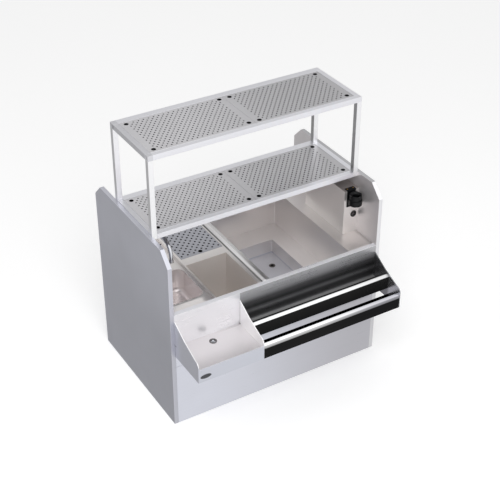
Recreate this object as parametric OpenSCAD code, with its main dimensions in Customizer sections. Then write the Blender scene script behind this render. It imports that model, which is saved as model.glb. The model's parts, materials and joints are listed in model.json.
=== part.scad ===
// Underbar drinks station in folded stainless sheet. Two side panels carry a
// deck with a hand sink, an open bottle well, a lift-out drain insert and an
// insulated ice bin. A dump basin and a two-step bottle rail hang on the front,
// and a two-tier perforated shelf stands above.
// X runs to the right, Y to the back and Z up. The origin is on the floor, under
// the middle of the plan box. Inside place(), y = 0 is the cabinet's front face.

/* [Cabinet] */
// Overall width over the side panels
width = 1371.6; // [1320:0.1:1600]
// Depth of the side panels
depth = 890; // [860:1:1000]
// Height of the side panels above the deck
panel_rise = 384; // [340:1:460]
// Thickness of each side panel
panel_t = 25; // [18:0.5:32]
// Chamfer on a side panel's top front corner
front_chamfer = 78; // [20:1:120]
// Chamfer on a side panel's top back corner
back_chamfer = 72; // [20:1:120]
// Thickness of the folded sheet
sheet = 2; // [1.5:0.1:2.5]
// Thickness of the back panel
back_t = 20; // [15:1:25]
// Height of the back panel above the deck
splash_h = 60; // [20:1:120]
// Height and depth of the two base rails
base_rail = 40; // [30:1:60]
// Height of the removable front panel
access_h = 402; // [300:1:440]

/* [Deck] */
// Height of the deck
deck_z = 755; // [740:1:780]
// Depth of the flat rim along the deck's front edge
rim_d = 30; // [26:1:40]
// Width of the sink's part of the deck
sink_zone_w = 268; // [264:1:300]
// Width of the deck's part with the bottle well and the drain insert
center_zone_w = 293; // [292:1:320]
// Step from the deck down to the sink's part
sink_recess = 18; // [10:1:25]
// Step from the deck down to the right-hand landing
landing_recess = 4; // [3:0.5:10]

/* [Hand sink] */
// Inside width of the bowl
bowl_w = 240; // [200:1:244]
// Inside depth of the bowl, front to back
bowl_d = 295; // [220:1:305]
// Inside height of the bowl
bowl_h = 150; // [120:1:200]
// Radius of the bowl's upright corners
bowl_r = 45; // [30:1:60]
// Radius between the bowl's walls and floor
bowl_floor_r = 28; // [15:1:29]
// Flat deck between the front rim and the bowl
bowl_setback = 82; // [70:1:100]
// Outside radius of the sink's tailpiece
sink_tail_r = 19.05; // [15:0.05:20]

/* [Faucet] */
// Distance from the cabinet's front to the faucet's middle
faucet_y = 562; // [540:1:600]
// Distance between the two valves
valve_pitch = 101.6; // [90:0.1:120]
// Outside radius of the spout's tube
spout_r = 11; // [8:0.5:12]
// Wall of the spout's tube
spout_wall = 2; // [1:0.1:2.5]
// Forward reach of the spout
spout_reach = 288; // [230:1:310]
// Height of the spout's top run above its deck
spout_top = 273; // [240:1:300]
// Middle radius of the spout's two bends
spout_bend = 85; // [50:1:90]
// Straight drop from the front bend to the outlet
spout_drop = 18; // [10:1:40]
// Length of a lever
lever_len = 84; // [60:1:90]
// Rise of a lever's blade towards its tip, in degrees
lever_tilt = 58; // [30:1:65]

/* [Bottle well] */
// Inside width of the bottle well
well_w = 264; // [220:1:266]
// Deck between the bottle well and the groove
well_ledge = 21; // [19:1:24]
// Inside depth of the bottle well, front to back
well_d = 355; // [300:1:360]
// Inside height of the bottle well
well_h = 300; // [200:1:330]

/* [Drain insert] */
// Width of the opening for the drain insert
insert_w = 272; // [240:1:276]
// Deck behind the drain insert
insert_back = 50; // [42:1:120]
// Deck between the drain insert and the groove
insert_ledge = 6; // [5:1:12]
// Deck between the bottle well and the drain insert
insert_gap = 63; // [50:1:66]
// Depth of the drip pan under the insert
pan_h = 60; // [45:1:90]
// Radius of a drain hole
drain_hole_r = 5.5; // [3:0.5:6]
// Distance between drain holes in one row
drain_pitch = 40; // [36:1:60]
// Distance between rows of drain holes
drain_row = 20; // [18:1:30]

/* [Ice bin] */
// Width of the raised bar on the bin's left side
bar_w = 43; // [40:1:50]
// Height of that bar above the deck
bar_rise = 6; // [3:0.5:10]
// Width of the groove beside the bar
groove_w = 10; // [6:1:14]
// Thickness of the foam round the bin
foam_t = 36; // [30:1:37]
// Depth of the groove
groove_h = 10; // [8:1:14]
// Depth of the bin at its upper floor
bin_ledge_h = 243; // [200:1:260]
// Depth of the bin at its lower floor
bin_h = 339; // [300:1:345]
// Width of the upper floor beside the lower one
bin_side_ledge = 115; // [80:1:160]
// Depth of the upper floor behind the lower one
bin_back_ledge = 150; // [100:1:200]
// Radius of the bin's upright corners
bin_r = 8; // [4:1:20]
// Deck between the bin and the riser box
bin_side_deck = 73; // [60:1:74]
// Outside radius of the bin's drain
bin_tail_r = 12.7; // [10:0.1:14]

/* [Riser box] */
// Width of the riser box
riser_w = 97.6; // [92:0.1:110]
// Drop from the side panels' top to the riser box's top
riser_drop = 96; // [80:1:140]
// Distance from the cabinet's front to the riser box
riser_y = 199; // [180:1:240]
// Length of the riser box from its front to its back
riser_d = 400; // [300:1:440]
// Radius of the hole through the hose grommet
grommet_r = 12.5; // [9:0.5:14]
// Height of the grommet above the deck
grommet_up = 120; // [60:1:140]

/* [Gun holster] */
// Outside radius of the holster's cup
holster_r = 35; // [30:0.5:38]
// Radius of the holster's hole
holster_bore_r = 21; // [15:0.5:24]
// Height of the holster's cup
holster_h = 32; // [28:1:50]
// Outside radius of the drip cup
drip_r = 39; // [36:0.5:40]
// Height of the drip cup
drip_h = 33; // [25:1:45]
// Distance from the riser box's top down to the holster's top
holster_down = 8; // [2:1:20]
// Height of the plate behind the holster
bracket_h = 108; // [80:1:110]

/* [Dump basin] */
// Reach of the basin and the bottle rail in front of the cabinet
front_reach = 258; // [245:1:280]
// Width of the basin over its side walls
basin_w = 407; // [360:1:440]
// Depth of the basin's floor below the deck
basin_drop = 206; // [200:1:210]
// Height of the basin's front lip above its floor
basin_lip = 13; // [10:1:30]
// Height of the skirt at the front of the basin
skirt_h = 88; // [84:1:96]
// Thickness of the end walls, double sheet with a hemmed edge
end_wall_t = 5; // [4:0.5:8]
// Drop from the deck to the end walls' top at the cabinet
end_wall_drop = 44; // [30:1:60]
// Radius of the end walls' nose
end_nose_r = 33; // [20:1:40]
// Height of the nose's top above the basin's front lip
nose_up = 44; // [40:1:60]
// Distance from the cabinet to the bend in the end walls' top edge
wall_bend_y = 107; // [90:1:130]
// Height of that bend above the basin's front lip
wall_bend_up = 90; // [85:1:110]
// Outside radius of the basin's tailpiece
basin_tail_r = 15.9; // [12:0.1:16]
// Distance from the cabinet's front to the basin's drain
basin_drain_y = 64; // [50:1:90]

/* [Bottle rail] */
// Reach of the rear trough
rear_trough_d = 141; // [120:1:141]
// Height of the rear trough's lip above its floor
rear_lip_h = 82; // [60:1:84]
// Depth of the front trough
front_trough_d = 103; // [94:1:106]
// Height of the front trough's lip above its floor
front_lip_h = 90; // [70:1:92]
// Height of the front trough's back edge above its floor
front_back_h = 36; // [25:1:42]
// Depth of each lip's rolled top
lip_roll = 21; // [14:1:24]
// Height of the rear lip's round
rear_roll_h = 14; // [8:1:20]
// Height of the front lip's round
front_roll_h = 26; // [14:1:30]

/* [Overshelf] */
// Distance from the cabinet's front to the overshelf
shelf_y = 218; // [205:1:240]
// Depth of the overshelf
shelf_d = 446; // [400:1:460]
// Height of the lower tier above the side panels' top
shelf_rise = 3; // [2:0.5:20]
// Distance between the two tiers
tier_gap = 473; // [360:1:560]
// Side of a post
post_w = 30; // [26:1:30]
// Height of the tiers' rails
tier_h = 30; // [26:1:30]
// Width of the tiers' back rails
back_border = 44; // [42:1:50]
// Depth of a shelf insert's folded edge
insert_edge = 20; // [16:1:22]
// Radius of a shelf hole
shelf_hole_r = 4; // [2.5:0.5:4.5]
// Distance between shelf holes in one row
shelf_pitch = 30; // [28:1:60]
// Distance between rows of shelf holes
shelf_row = 18; // [16:1:36]
// Radius of a finger hole
finger_r = 12.5; // [10:0.5:14]

/* [Hidden] */
$fn = 48;

// Clearances: beside a lift-out piece, round a turning stem and between faces
fit_gap = 1;
turn_gap = 0.05;
face_gap = 0.3;

plate_t = 1.2;
reach_all = front_reach + plate_t;
inner_l = panel_t - width / 2;
inner_r = width / 2 - panel_t;
panel_h = deck_z + panel_rise;
deck_back = depth - back_t;
under_deck = deck_z - sheet;
return_gap = 5;
return_w = 15;

// Deck, left to right
step_x = inner_l + sink_zone_w;
groove_x = step_x + center_zone_w;
bar_x = groove_x + groove_w;
bin_x0 = bar_x + bar_w;
riser_x = inner_r - riser_w;
bin_x1 = riser_x - bin_side_deck;

// Hand sink
sink_z = deck_z - sink_recess;
under_sink = sink_z - sheet;
sink_x = (inner_l + step_x) / 2;
bowl_y = rim_d + bowl_setback + bowl_d / 2;
bowl_floor = under_sink - bowl_h;
bowl_flange = 12;

// Drains: threaded body, tailpiece, locknut and strainer
drain_wall = 2;
drain_lip = 2;
seat_deep = 6;
thread_h = 24;
tail_len = 110;
nut_h = 14;
nut_rim = 8;
sink_rim = 10;
basin_rim = 3;
strainer_t = 2;
knob_neck = 5;
knob_h = 3;
function seat_r(tail_r) = tail_r - drain_wall + 1;
function thread_r(tail_r) = seat_r(tail_r) + 4;

// Faucet
valve_x = [sink_x - valve_pitch / 2, sink_x + valve_pitch / 2];
plate_r = 25;
plate_h = 12;
valve_r = 17;
valve_h = 40;
stem_r = 5;
stem_deep = 17;
hub_h = 16;
blade_w = 16;
blade_t = 7;
blade_sink = 6;
shank_r = 10.3;
shank_len = 30;
inlet_r = 9.5;
inlet_len = 25;
shank_nut_r = 19;
shank_nut_h = 12;
socket_wall = 7;
socket_h = 38;
collar_w = 5;
collar_h = 10;
spout_foot = plate_h + face_gap;
outlet_up = spout_top - spout_bend - spout_drop;
aerator_h = 15;
aerator_lip = 1.5;
screen_t = 3;

// Bottle well and drain insert
well_x = groove_x - well_ledge - well_w / 2;
well_y1 = rim_d + well_d;
insert_x = groove_x - insert_ledge - insert_w / 2;
insert_y0 = well_y1 + insert_gap;
insert_y1 = deck_back - insert_back;
insert_d = insert_y1 - insert_y0;
seat_z = deck_z - insert_edge;
pan_ledge = 8;
pan_drain_r = 12.7;
pan_drain_in = 70;
pan_drain_y = insert_y1 - pan_drain_in;
pan_tail = 40;
finger_in = 22;
drain_margin_x = 14;
drain_margin_y = 18;
hole_web = 3;

// Ice bin
bar_r = 5;
bin_y1 = deck_back - foam_t - 3 * sheet;
bin_ledge_z = deck_z - bin_ledge_h;
bin_floor_z = deck_z - bin_h;
pit_x1 = bin_x1 - bin_side_ledge;
pit_y1 = bin_y1 - bin_back_ledge;
bin_drain_side = 78;
bin_drain_back = 129;
bin_drain_x = pit_x1 - bin_drain_side;
bin_drain_y = pit_y1 - bin_drain_back;
bin_body_wall = 2;
bin_body_r = bin_tail_r + bin_body_wall;
bin_body_h = foam_t + 2 * sheet;
bin_tail_below = 60;
bin_tail_len = bin_body_h + bin_tail_below;
foam_x0 = bin_x0 - foam_t;
foam_x1 = bin_x1 + foam_t;
foam_y1 = bin_y1 + foam_t;
foam_seam = 1;

// Riser box and holster
landing_z = deck_z - landing_recess;
riser_z = panel_h - riser_drop;
riser_back = riser_y + riser_d;
grommet_in = 28;
grommet_x = inner_r - grommet_in;
grommet_wall = 4;
grommet_lip = 3;
holster_arm_drop = 6;
drip_wall = 9;
drip_floor = 3;
screw_head_h = 2.2;
holster_shift = 2;
holster_x = riser_x + riser_w / 2 - holster_shift;
holster_off = 41;
bracket_t = 4;
bracket_w = 60;
tab_d = 26;
screw_gap = 40;
screw_r = 2.5;
holster_y = riser_y - bracket_t - holster_off;
holster_z = riser_z - holster_down - holster_h;
funnel_h = 10;

// Front of the cabinet
floor_z = deck_z - basin_drop;
lip_z = floor_z + basin_lip;
skirt_z = lip_z - skirt_h;
basin_x0 = inner_l;
basin_x1 = inner_l + basin_w;
basin_drain_shift = 5;
basin_mid = (basin_x0 + basin_x1) / 2 - basin_drain_shift;
floor_x0 = basin_x0 + end_wall_t;
floor_x1 = basin_x1 - end_wall_t;
rail_x1 = inner_r - end_wall_t;
hem = 4;
lip_tuck = 1;
trough_skirt = 11;
oval_w = 66;
oval_h = 26;
oval_in = 45;
oval_up = 34;

// Overshelf
lower_z = panel_h + shelf_rise;
upper_z = lower_z + tier_gap;
shelf_y1 = shelf_y + shelf_d;
field_y0 = shelf_y + post_w;
field_y1 = shelf_y1 - back_border;
left_insert_x = inner_l + post_w + fit_gap;
ledge_w = 12;
shelf_margin_x = 34;
shelf_margin_y = 20;
shelf_finger_x = 32;
shelf_finger_y = 26;
bracket_in = 60;
bracket_leg = 45;
bracket_len = 60;
angle_t = 3;
bolt_r = 4;
bolt_in = 15;
bolt_y = [bolt_in, bracket_len - bolt_in];
bolt_down = 28;
bolt_head_h = 5;

steel = "#b9b9bd";
bright = "#d5d6da";
shade = "#8f8f96";
black = "#1d1e20";
brass = "#b89a5a";
foam = "#d9cfa8";

module place() translate([0, (reach_all - depth) / 2, 0]) children();

// A box between two opposite corners
module block(lo, hi) translate(lo) cube(hi - lo);

// A (y, z) outline drawn out along X
module along_x(x0, x1)
    translate([x0, 0, 0]) rotate([90, 0, 90]) linear_extrude(x1 - x0) children();

// An (x, z) outline drawn out along Y
module along_y(y0, y1)
    translate([0, y1, 0]) rotate([90, 0, 0]) linear_extrude(y1 - y0) children();

// Rectangle with round corners
module rounded(lo, hi, r) {
    translate(lo + [r, 0]) square(hi - lo - [2 * r, 0]);
    translate(lo + [0, r]) square(hi - lo - [0, 2 * r]);
    for (x = [lo.x + r, hi.x - r], y = [lo.y + r, hi.y - r]) translate([x, y]) circle(r);
}

// Strip with round ends, its end circles a given distance apart
module stadium(gap, r) {
    square([gap, 2 * r], center = true);
    for (sx = [-1, 1]) translate([sx * gap / 2, 0]) circle(r);
}

function arc(c, r, a0, a1, n = 6) =
    [for (i = [0 : n]) let (a = a0 + (a1 - a0) * i / n) c + r * [cos(a), sin(a)]];

function side_of(a, b) = let (d = b - a) [-d.y, d.x] / norm(d);

// One point of the path's other side, at the corner's mitre
function mitre(path, i, t) =
    let (last = len(path) - 1,
         before = i == 0 ? side_of(path[0], path[1]) : side_of(path[i - 1], path[i]),
         after = i == last ? before : side_of(path[i], path[i + 1]))
    path[i] + t * (before + after) / (1 + before * after);

// Folded sheet: a path given a thickness on its right side
module folded(path)
    polygon(concat(path, [for (i = [len(path) - 1 : -1 : 0]) mitre(path, i, -sheet)]));

// Square tube along X
module tube_x(x0, x1, lo, hi) along_x(x0, x1) difference() {
    translate(lo) square(hi - lo);
    translate(lo + [sheet, sheet]) square(hi - lo - 2 * [sheet, sheet]);
}

// Points of a staggered hole field, clear of the finger holes
function hole_field(w, d, margin_x, margin_y, pitch, row, keep_off, keep_r) =
    let (n = floor((d - 2 * margin_y) / row), m = floor((w - 2 * margin_x) / pitch),
         x_in = (w - m * pitch) / 2, y_in = (d - n * row) / 2)
    [for (j = [0 : n], i = [0 : m - j % 2])
        let (p = [x_in + (i + (j % 2) / 2) * pitch, y_in + j * row])
        if (min([for (q = keep_off) norm(p - q)]) > keep_r) p];

// Lift-out insert: a perforated top with its edges folded down
module tray_insert(w, d, edge, holes, hole_r, fingers) {
    translate([0, 0, -sheet]) linear_extrude(sheet) difference() {
        square([w, d]);
        for (p = holes) translate(p) circle(hole_r, $fn = 24);
        for (p = fingers) translate(p) circle(finger_r);
    }
    translate([0, 0, -edge]) linear_extrude(edge - sheet) difference() {
        square([w, d]);
        translate([sheet, sheet]) square([w - 2 * sheet, d - 2 * sheet]);
    }
}

// ---- Cabinet ----

module panel_outline() polygon([
    [0, 0], [depth, 0], [depth, panel_h - back_chamfer], [depth - back_chamfer, panel_h],
    [front_chamfer, panel_h], [0, panel_h - front_chamfer]
]);

module left_side_panel() color(shade) place() along_x(-width / 2, inner_l) panel_outline();

module right_side_panel() color(shade) place() along_x(inner_r, width / 2) panel_outline();

module back_panel() color(shade) place()
    block([inner_l, deck_back, 0], [inner_r, depth, deck_z + splash_h]);

module base_rail_at(y) color(shade) place()
    tube_x(inner_l, inner_r, [y, 0], [y + base_rail, base_rail]);

module front_access_panel() color(bright) place() {
    block([inner_l, 0, 0], [inner_r, sheet, access_h]);
    for (x = [inner_l, inner_r - sheet])
        block([x, sheet, base_rail + return_gap], [x + sheet, sheet + return_w, access_h - return_gap]);
}

module front_upper_panel() color(bright) place()
    block([inner_l, 0, access_h + fit_gap], [inner_r, sheet, floor_z - sheet]);

module front_apron() color(bright) place() along_x(inner_l, inner_r)
    folded([[0, floor_z - sheet], [0, deck_z], [rim_d, deck_z]]);

// ---- Hand sink ----

module sink_deck() color(steel) place() {
    difference() {
        block([inner_l, rim_d - sheet, sink_z - sheet], [step_x, deck_back, sink_z]);
        translate([0, 0, sink_z - 2 * sheet]) linear_extrude(3 * sheet) bowl_outline(0);
        for (x = valve_x) translate([x, faucet_y, sink_z - 2 * sheet])
            cylinder(r = shank_r + 1.5, h = 3 * sheet);
    }
    block([inner_l, rim_d - sheet, sink_z], [step_x, rim_d, under_deck]);
}

module bowl_outline(extra) rounded(
    [sink_x - bowl_w / 2 - extra, bowl_y - bowl_d / 2 - extra],
    [sink_x + bowl_w / 2 + extra, bowl_y + bowl_d / 2 + extra], bowl_r + extra);

// One edge of the bowl from its flat floor outwards: a quarter round, then the upright wall
module bowl_edge(r, wall_h) {
    flat_w = bowl_r - bowl_floor_r;
    translate([flat_w, 0]) intersection() {
        circle(r);
        translate([0, -r]) square([r, r]);
    }
    translate([0, -r]) square([flat_w, r + wall_h]);
    square([flat_w + r, wall_h]);
}

// The bowl's inside, grown by extra, up to a height above its top
module bowl_body(extra, up) {
    r = bowl_floor_r + extra;
    wall_h = bowl_h - bowl_floor_r + up;
    flat = [bowl_w / 2 - bowl_r, bowl_d / 2 - bowl_r];
    translate([sink_x, bowl_y, bowl_floor + bowl_floor_r]) {
        translate([0, 0, -r]) linear_extrude(r + wall_h) square(2 * flat, center = true);
        for (sx = [-1, 1], sy = [-1, 1]) translate([sx * flat.x, sy * flat.y, 0])
            rotate_extrude() bowl_edge(r, wall_h);
        for (turn = [0, 180]) {
            rotate(turn) along_x(-flat.x, flat.x) translate([flat.y, 0]) bowl_edge(r, wall_h);
            rotate(turn + 90) along_x(-flat.y, flat.y) translate([flat.x, 0]) bowl_edge(r, wall_h);
        }
    }
}

module sink_bowl() color(steel) place() difference() {
    union() {
        bowl_body(sheet, 0);
        translate([0, 0, under_sink - sheet]) linear_extrude(sheet) bowl_outline(bowl_flange);
    }
    bowl_body(0, 1);
    translate([sink_x, bowl_y, bowl_floor - 2 * sheet])
        cylinder(r = thread_r(sink_tail_r), h = 4 * sheet);
}

// Flange on the floor, a threaded body through it and a tailpiece below
module drain(tail_r, rim) difference() {
    union() {
        cylinder(r = thread_r(tail_r) + rim, h = drain_lip);
        translate([0, 0, -thread_h]) cylinder(r = thread_r(tail_r), h = thread_h);
        translate([0, 0, -tail_len]) cylinder(r = tail_r, h = tail_len);
    }
    translate([0, 0, -seat_deep]) cylinder(r = seat_r(tail_r), h = seat_deep + drain_lip + 1);
    translate([0, 0, -tail_len - 1]) cylinder(r = tail_r - drain_wall, h = tail_len);
}

module drain_nut(tail_r) translate([0, 0, -sheet - nut_h]) difference() {
    cylinder(r = thread_r(tail_r) + nut_rim, h = nut_h, $fn = 8);
    translate([0, 0, -1]) cylinder(r = thread_r(tail_r), h = nut_h + 2);
}

// Strainer plate with a ring of holes and a knob, just clear of its seat
module strainer(tail_r) {
    r = seat_r(tail_r) - fit_gap / 2;
    translate([0, 0, -seat_deep + face_gap]) {
        difference() {
            cylinder(r = r, h = strainer_t);
            for (i = [0 : 7]) rotate(45 * i) translate([r * 0.68, 0, -1])
                cylinder(r = r * 0.16, h = strainer_t + 2, $fn = 16);
        }
        translate([0, 0, strainer_t]) cylinder(r = r * 0.2, h = knob_neck);
        translate([0, 0, strainer_t + knob_neck]) cylinder(r = r * 0.45, h = knob_h);
    }
}

module at_bowl() place() translate([sink_x, bowl_y, bowl_floor]) children();

module sink_drain() color(bright) at_bowl() drain(sink_tail_r, sink_rim);

module sink_drain_nut() color(brass) at_bowl() drain_nut(sink_tail_r);

module sink_strainer() color(bright) at_bowl() strainer(sink_tail_r);

// ---- Faucet ----

module at_faucet(x = sink_x) place() translate([x, faucet_y, sink_z]) children();

module faucet_base() color(bright) difference() {
    union() {
        at_faucet() linear_extrude(plate_h) stadium(valve_pitch, plate_r);
        at_faucet() cylinder(r = spout_r + socket_wall, h = socket_h);
        for (x = valve_x) at_faucet(x) {
            cylinder(r = valve_r, h = valve_h);
            translate([0, 0, -shank_len]) cylinder(r = shank_r, h = shank_len);
            translate([0, 0, -shank_len - inlet_len]) cylinder(r = inlet_r, h = inlet_len);
        }
    }
    at_faucet() translate([0, 0, plate_h]) cylinder(r = spout_r + turn_gap, h = socket_h);
    for (x = valve_x) at_faucet(x) translate([0, 0, valve_h - stem_deep - 1])
        cylinder(r = stem_r + turn_gap, h = stem_deep + 2);
}

module faucet_nuts() color(brass) for (x = valve_x) at_faucet(x)
    translate([0, 0, -sheet - shank_nut_h]) difference() {
        cylinder(r = shank_nut_r, h = shank_nut_h, $fn = 6);
        translate([0, 0, -1]) cylinder(r = shank_r, h = shank_nut_h + 2);
    }

// A solid of radius r along the spout: up, over, forward and down
module spout_body(r) {
    top = spout_top - spout_bend;
    run = spout_reach - 2 * spout_bend;
    translate([0, 0, spout_foot]) cylinder(r = r, h = top - spout_foot);
    for (i = [0, 1]) translate([0, -spout_bend - i * run, top]) rotate([90, 0, 90]) rotate(90 * i)
        rotate_extrude(angle = 90) translate([spout_bend, 0]) circle(r);
    translate([0, -spout_bend, spout_top]) rotate([90, 0, 0]) cylinder(r = r, h = run);
    translate([0, -spout_reach, top - spout_drop]) cylinder(r = r, h = spout_drop);
}

module faucet_spout() color(bright) at_faucet() {
    difference() {
        spout_body(spout_r);
        spout_body(spout_r - spout_wall);
    }
    translate([0, 0, socket_h + face_gap]) difference() {
        cylinder(r = spout_r + collar_w, h = collar_h);
        translate([0, 0, -1]) cylinder(r = spout_r - spout_wall / 2, h = collar_h + 2);
    }
}

module faucet_aerator() color(bright) at_faucet() translate([0, -spout_reach, outlet_up]) difference() {
    translate([0, 0, -aerator_h]) cylinder(r = spout_r + aerator_lip, h = aerator_h);
    translate([0, 0, -aerator_h - 1]) cylinder(r = spout_r - 2 * aerator_lip, h = aerator_h + 1 - screen_t);
}

// Stem in the valve, hub just above it and a blade that rises towards the front
module lever_at(x) color(bright) at_faucet(x) {
    translate([0, 0, valve_h - stem_deep]) cylinder(r = stem_r, h = stem_deep + face_gap + 1);
    translate([0, 0, valve_h + face_gap]) cylinder(r = valve_r - 2, h = hub_h);
    translate([0, -hub_h / 2, valve_h + face_gap + hub_h - blade_sink]) rotate([90 - lever_tilt, 0, 0])
        linear_extrude(lever_len) stadium(blade_w - blade_t, blade_t / 2);
}

// ---- Bottle well and drain insert ----

module center_deck() color(steel) place() {
    translate([0, 0, under_deck]) linear_extrude(sheet) difference() {
        translate([step_x, rim_d]) square([groove_x - step_x, deck_back - rim_d]);
        translate([well_x - well_w / 2, rim_d - 1]) square([well_w, well_d + 1]);
        translate([insert_x - insert_w / 2, insert_y0]) square([insert_w, insert_d]);
    }
    block([step_x, rim_d, under_sink - sheet], [step_x + sheet, deck_back, under_deck]);
}

module bottle_well() color(steel) place() difference() {
    block([well_x - well_w / 2 - sheet, rim_d - sheet, deck_z - well_h - sheet],
          [well_x + well_w / 2 + sheet, well_y1 + sheet, under_deck]);
    block([well_x - well_w / 2, rim_d, deck_z - well_h], [well_x + well_w / 2, well_y1, deck_z]);
}

// A box under the drain insert's opening, grown by extra on four sides
module under_insert(extra, z0, z1)
    block([insert_x - insert_w / 2 - extra, insert_y0 - extra, z0],
          [insert_x + insert_w / 2 + extra, insert_y1 + extra, z1]);

module drip_pan() color(steel) place() difference() {
    union() {
        under_insert(sheet, seat_z - sheet, under_deck);
        under_insert(sheet - pan_ledge, deck_z - pan_h - sheet, seat_z);
        translate([insert_x, pan_drain_y, deck_z - pan_h - pan_tail]) cylinder(r = pan_drain_r, h = pan_tail);
    }
    under_insert(0, seat_z, deck_z);
    under_insert(-pan_ledge, deck_z - pan_h, deck_z);
    translate([insert_x, pan_drain_y, deck_z - pan_h - pan_tail - 1])
        cylinder(r = pan_drain_r - drain_wall, h = pan_tail + 2);
}

module drain_insert() color(shade) place() {
    w = insert_w - 2 * fit_gap;
    d = insert_d - 2 * fit_gap;
    fingers = [for (y = [finger_in, d - finger_in]) [w / 2, y]];
    keep_r = finger_r + drain_hole_r + hole_web;
    holes = hole_field(
        w, d, drain_margin_x, drain_margin_y, drain_pitch, drain_row, fingers, keep_r);
    translate([insert_x - w / 2, insert_y0 + fit_gap, deck_z])
        tray_insert(w, d, insert_edge - face_gap, holes, drain_hole_r, fingers);
}

// ---- Ice bin ----

// Channel for the groove, and the raised bar with round edges beside it
module bin_bar() color(bright) place() along_y(rim_d, bin_y1) polygon(concat(
    [[groove_x, deck_z], [groove_x, deck_z - groove_h - sheet], [bar_x + sheet, deck_z - groove_h - sheet],
     [bar_x + sheet, under_deck], [bin_x0, under_deck]],
    arc([bin_x0 - bar_r, deck_z + bar_rise - bar_r], bar_r, 0, 90),
    arc([bar_x + bar_r, deck_z + bar_rise - bar_r], bar_r, 90, 180),
    [[bar_x, deck_z - groove_h], [groove_x + sheet, deck_z - groove_h], [groove_x + sheet, deck_z]]));

// The bin's inside, grown by extra, with its upper and its lower floor
module bin_hollow(extra, top) {
    translate([0, 0, bin_ledge_z - extra]) linear_extrude(top - bin_ledge_z + extra)
        rounded([bin_x0 - extra, rim_d - extra], [bin_x1 + extra, bin_y1 + extra], bin_r + extra);
    translate([0, 0, bin_floor_z - extra]) linear_extrude(bin_ledge_z - bin_floor_z + extra + 1)
        rounded([bin_x0 - extra, rim_d - extra], [pit_x1 + extra, pit_y1 + extra], bin_r + extra);
}

module bin_drain_hole() translate([bin_drain_x, bin_drain_y, bin_floor_z - bin_tail_len])
    cylinder(r = bin_body_r, h = 2 * bin_tail_len);

module ice_bin_liner() color(steel) place() difference() {
    bin_hollow(sheet, under_deck);
    bin_hollow(0, deck_z);
    bin_drain_hole();
}

// Four boards round the bin's hollow from z0 to z1, with its right side at x1 and its rear at y1
module foam_ring(z0, z1, x1, y1) {
    block([foam_x0, 2 * sheet, z0], [foam_x1, rim_d - sheet, z1]);
    block([foam_x0, y1, z0], [foam_x1, foam_y1, z1]);
    block([foam_x0, rim_d - sheet + foam_seam, z0], [bin_x0 - sheet, y1 - foam_seam, z1]);
    block([x1, rim_d - sheet + foam_seam, z0], [foam_x1, y1 - foam_seam, z1]);
}

// Cut foam boards: one under the pit, four round the pit and four above the step
module ice_bin_foam() color(foam) place() {
    difference() {
        block([foam_x0, 2 * sheet, bin_floor_z - foam_t], [foam_x1, foam_y1, bin_floor_z - sheet]);
        bin_drain_hole();
    }
    foam_ring(bin_floor_z - sheet + foam_seam, bin_ledge_z - sheet, pit_x1 + sheet, pit_y1 + sheet);
    foam_ring(bin_ledge_z - sheet + foam_seam, under_deck, bin_x1 + sheet, bin_y1 + sheet);
}

module ice_bin_shell() color(shade) place() difference() {
    block([foam_x0 - sheet, sheet, bin_floor_z - foam_t - sheet],
          [foam_x1 + sheet, foam_y1 + sheet, under_deck]);
    block([foam_x0, 2 * sheet, bin_floor_z - foam_t], [foam_x1, foam_y1, deck_z]);
    bin_drain_hole();
}

module ice_bin_drain() color(bright) place() translate([bin_drain_x, bin_drain_y, bin_floor_z]) difference() {
    union() {
        cylinder(r = bin_body_r + 5, h = drain_lip);
        translate([0, 0, -bin_body_h]) cylinder(r = bin_body_r, h = bin_body_h);
        translate([0, 0, -bin_tail_len]) cylinder(r = bin_tail_r, h = bin_tail_len);
    }
    translate([0, 0, -bin_tail_len - 1])
        cylinder(r = bin_tail_r - drain_wall, h = bin_tail_len + drain_lip + 2);
}

module bin_deck() color(steel) place() translate([0, 0, under_deck]) linear_extrude(sheet) polygon([
    [bin_x1, rim_d], [riser_x, rim_d], [riser_x, riser_back], [inner_r, riser_back],
    [inner_r, deck_back], [groove_x, deck_back], [groove_x, bin_y1], [bin_x1, bin_y1]
]);

module right_landing() color(steel) place() {
    block([riser_x, rim_d - sheet, landing_z - sheet], [inner_r, riser_y, landing_z]);
    block([riser_x, rim_d, landing_z], [riser_x + sheet, riser_y, deck_z]);
    block([riser_x, rim_d - sheet, landing_z], [inner_r, rim_d, under_deck]);
}

// ---- Riser box and holster ----

module riser_box() color(steel) place() difference() {
    block([riser_x, riser_y, landing_z - sheet], [inner_r, riser_back, riser_z]);
    block([riser_x + sheet, riser_y + sheet, landing_z - sheet - 1],
          [inner_r - sheet, riser_back - sheet, riser_z - sheet]);
    translate([grommet_x, riser_y - 1, deck_z + grommet_up]) rotate([-90, 0, 0])
        cylinder(r = grommet_r + grommet_wall, h = 2 * sheet);
}

module hose_grommet() color(black) place()
    translate([grommet_x, riser_y, deck_z + grommet_up]) rotate([90, 0, 0]) difference() {
        union() {
            cylinder(r = grommet_r + 2 * grommet_wall, h = grommet_lip);
            translate([0, 0, -sheet - grommet_lip])
                cylinder(r = grommet_r + grommet_wall, h = sheet + grommet_lip);
        }
        translate([0, 0, -2 * (sheet + grommet_lip)]) cylinder(r = grommet_r, h = 4 * (sheet + grommet_lip));
    }

// Plate on the riser's front with a tab over its top
module holster_bracket() color(black) place() {
    block([holster_x - bracket_w / 2, riser_y - bracket_t, riser_z - bracket_h],
          [holster_x + bracket_w / 2, riser_y, riser_z]);
    difference() {
        block([holster_x - bracket_w / 2, riser_y - bracket_t, riser_z],
              [holster_x + bracket_w / 2, riser_y + tab_d, riser_z + bracket_t]);
        for (sx = [-1, 1]) translate([holster_x + sx * screw_gap / 2, riser_y + tab_d / 2, riser_z - 1])
            cylinder(r = screw_r, h = bracket_t + 2);
    }
}

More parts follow.
